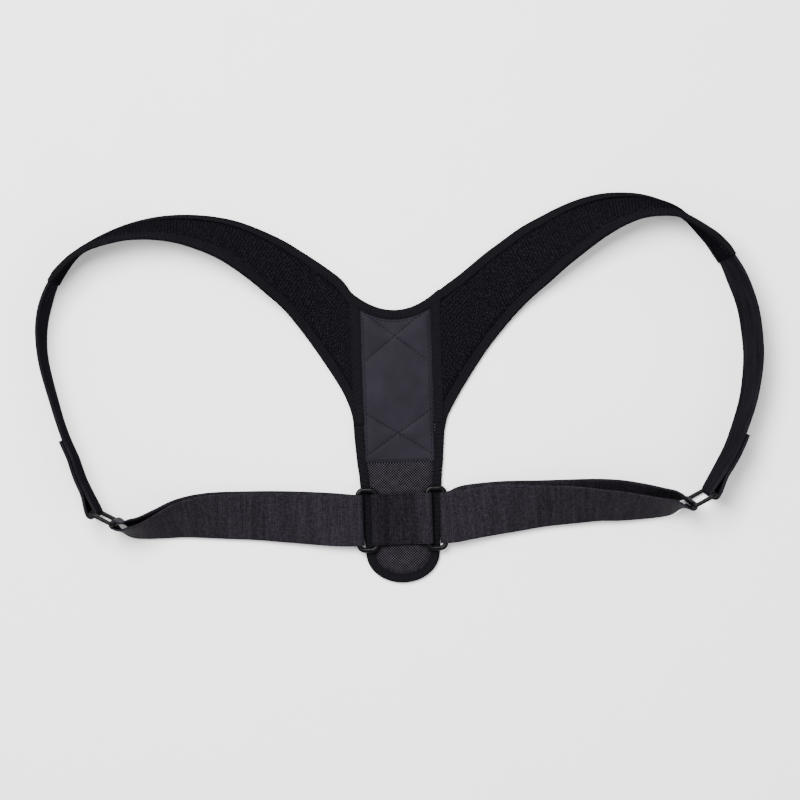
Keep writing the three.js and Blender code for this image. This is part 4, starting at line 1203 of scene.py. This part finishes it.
def wovenWebbing(name, paintedShadeEdgeAt=None):
    # flat woven webbing: fine cross ribs and streaks; on the sewn band, painted shade darkens the
    # face up to its lap, so the lapped end beyond it reads lighter as if lit
    material, tree, shader = newFinish(name, (0.0105, 0.0088, 0.0122), 0.6,
                                       Specular_IOR_Level=0.008)
    cloth = clothCoords(tree)
    ribs = bars(tree, cloth, 1.2, "X", 0.3)
    lines = bars(tree, cloth, 1.5, "Y", 0.2)
    streak = speckle(tree, clothCoords(tree, (0.28, 0.02, 1)), 1.0, 3.0, 0.6)
    nap = speckle(tree, objectCoords(tree, 1000), 0.55, 3.0, 0.6)
    weave = mixOf(tree, ribs, 0.12, lines, 0.06)
    mixed = calc(tree, "ADD", weave, mixOf(tree, streak, 0.34, nap, 0.48))
    colour = ramp(tree, mixed, [
        (0.36, (0.005, 0.0042, 0.0058)), (0.5, (0.0102, 0.0085, 0.0115)),
        (0.64, (0.0192, 0.0163, 0.0211))])
    # painted shade: the colour is scaled to 0.62 left of the lap edge and kept full right of it,
    # making a shaded and a lit part of one webbing
    if paintedShadeEdgeAt is not None:
        split = place(tree, "ShaderNodeSeparateXYZ")
        tree.links.new(objectCoords(tree, 1000), split.inputs["Vector"])
        lap = place(tree, "ShaderNodeMapRange")
        lap.inputs["From Min"].default_value = paintedShadeEdgeAt - 0.4
        lap.inputs["From Max"].default_value = paintedShadeEdgeAt + 0.4
        lap.inputs["To Min"].default_value = 0.62
        tree.links.new(split.outputs["X"], lap.inputs["Value"])
        shaded = place(tree, "ShaderNodeVectorMath", {"operation": "SCALE"})
        tree.links.new(colour, shaded.inputs["Vector"])
        tree.links.new(lap.outputs["Result"], shaded.inputs["Scale"])
        colour = shaded.outputs["Vector"]
    tree.links.new(colour, shader.inputs["Base Color"])
    bumpInto(tree, shader, calc(tree, "ADD", weave, calc(tree, "MULTIPLY", nap, 0.2)), 0.0003, 0.8)
    return material


def brushedStrap():
    # adjuster strap: brushed loop face, streaked along its length
    material, tree, shader = newFinish("brushedStrap", (0.0058, 0.0055, 0.0072), 0.85,
                                       Specular_IOR_Level=0.0)
    streak = speckle(tree, clothCoords(tree, (0.03, 0.5, 1)), 1.0, 3.0, 0.6)
    nap = speckle(tree, objectCoords(tree, 1000), 1.1, 4.0, 0.7)
    mixed = mixOf(tree, streak, 0.5, nap, 0.5)
    colourInto(tree, shader, mixed, [
        (0.35, (0.0027, 0.0025, 0.0034)), (0.5, (0.0062, 0.0058, 0.0076)),
        (0.66, (0.0142, 0.0134, 0.0165))])
    bumpInto(tree, shader, mixed, 0.0003, 0.7)
    return material


def mouldedPlastic():
    # glossy moulded plastic, faintly orange-peeled and handled
    material, tree, shader = newFinish("mouldedPlastic", (0.002, 0.0019, 0.0023), 0.3,
                                       Specular_IOR_Level=0.06)
    spot = objectCoords(tree, 1000)
    peel = speckle(tree, spot, 0.45, 2.0)
    wear = speckle(tree, spot, 0.16, 3.0, 0.6)
    colourInto(tree, shader, wear,
               [(0.35, (0.0014, 0.0013, 0.0017)), (0.7, (0.0034, 0.0032, 0.0039))])
    rough = place(tree, "ShaderNodeMapRange")
    rough.inputs["To Min"].default_value = 0.16
    rough.inputs["To Max"].default_value = 0.4
    tree.links.new(wear, rough.inputs["Value"])
    tree.links.new(rough.outputs["Result"], shader.inputs["Roughness"])
    bumpInto(tree, shader, peel, 0.00015, 0.5)
    return material


def sewingThread():
    # twisted thread, a little brighter than the cloth
    material, tree, shader = newFinish("sewingThread", (0.004, 0.0037, 0.0047), 0.6,
                                       Specular_IOR_Level=0.03)
    twist = bars(tree, clothCoords(tree, turn=math.radians(35)), 0.35, "X", 0.0)
    colourInto(tree, shader, twist,
               [(0.2, (0.0015, 0.0013, 0.0018)), (0.8, (0.0085, 0.0078, 0.0098))])
    bumpInto(tree, shader, twist, 0.00012, 0.8)
    return material


finishes = [
    (spacerMesh(), ["padShoulderLeft", "padShoulderRight"]),
    (ballisticNylon(), ["panelSpine"]),
    (coatedCloth(), ["patchSpine"]),
    (ribbedTape(), ["stripSeamLeft", "stripSeamRight", "bindingNeck", "bindingHem"]),
    (wovenWebbing("wovenWebbing"), ["webbingSideLeft", "webbingSideRight"]),
    # the cross band takes the webbing finish with painted shade left of its lap
    (wovenWebbing("wovenBandPaintedShade", lapLook["x"] + 0.4), ["bandCross"]),
    (brushedStrap(), ["strapAdjusterLeft", "strapAdjusterRight"]),
    (mouldedPlastic(), ["ringStrapLeft", "ringStrapRight", "loopWebbingLeft", "loopWebbingRight"]),
    (sewingThread(), [piece.name for piece in stitches]),
]
for finish, names in finishes:
    for name in names:
        bpy.data.objects[name].data.materials.append(finish)
print("finishes applied")


# floor, light and camera

studio = {
    "floor": 6.0, "floorDrop": 0.0006, "white": (0.95, 0.95, 0.95), "skyStrength": 0.8,
    "keyPower": 105, "keySize": 0.9, "keyPlace": (-0.45, 0.6, 1.8),
    "fillPower": 10, "fillPlace": (0.9, -0.4, 1.6),
}
camera = {"height": 2.0, "frameWidth": 0.596, "middle": (0.00147, 0.0335), "roll": -1.88,
          "sensor": 36}

bpy.ops.mesh.primitive_plane_add(size=studio["floor"], location=(0, 0, -studio["floorDrop"]))
floor = bpy.context.object
floor.name = "floor"
paper, paperTree, paperShader = newFinish("paperFloor", studio["white"], 0.9)
grainFloor = speckle(paperTree, objectCoords(paperTree, 30), 1.0, 2.0)
colourInto(paperTree, paperShader, grainFloor,
           [(0.3, (0.945, 0.945, 0.945)), (0.7, (0.955, 0.955, 0.955))])
floor.data.materials.append(paper)

world = bpy.data.worlds.new("softRoom")
bpy.context.scene.world = world
world.use_nodes = True
sky = world.node_tree.nodes["Background"].inputs
sky["Color"].default_value = (1, 1, 1, 1)
sky["Strength"].default_value = studio["skyStrength"]


def softLight(name, spot, power, size):
    data = bpy.data.lights.new(name, "AREA")
    data.energy = power
    data.size = size
    lamp = bpy.data.objects.new(name, data)
    bpy.context.scene.collection.objects.link(lamp)
    lamp.location = spot
    aim = -np.array(spot)
    lamp.rotation_euler = (math.atan2(math.hypot(aim[0], aim[1]), -aim[2]), 0,
                           math.atan2(aim[1], aim[0]) - math.pi / 2)


softLight("keyPanel", studio["keyPlace"], studio["keyPower"], studio["keySize"])
softLight("fillPanel", studio["fillPlace"], studio["fillPower"], studio["keySize"])

view = bpy.data.cameras.new("photoView")
view.sensor_width = camera["sensor"]
view.lens = camera["sensor"] * camera["height"] / camera["frameWidth"]
eye = bpy.data.objects.new("photoView", view)
bpy.context.scene.collection.objects.link(eye)
eye.location = (*camera["middle"], camera["height"])
eye.rotation_euler = (0, 0, math.radians(camera["roll"]))
bpy.context.scene.camera = eye
print("studio set")

bpy.context.view_layer.update()
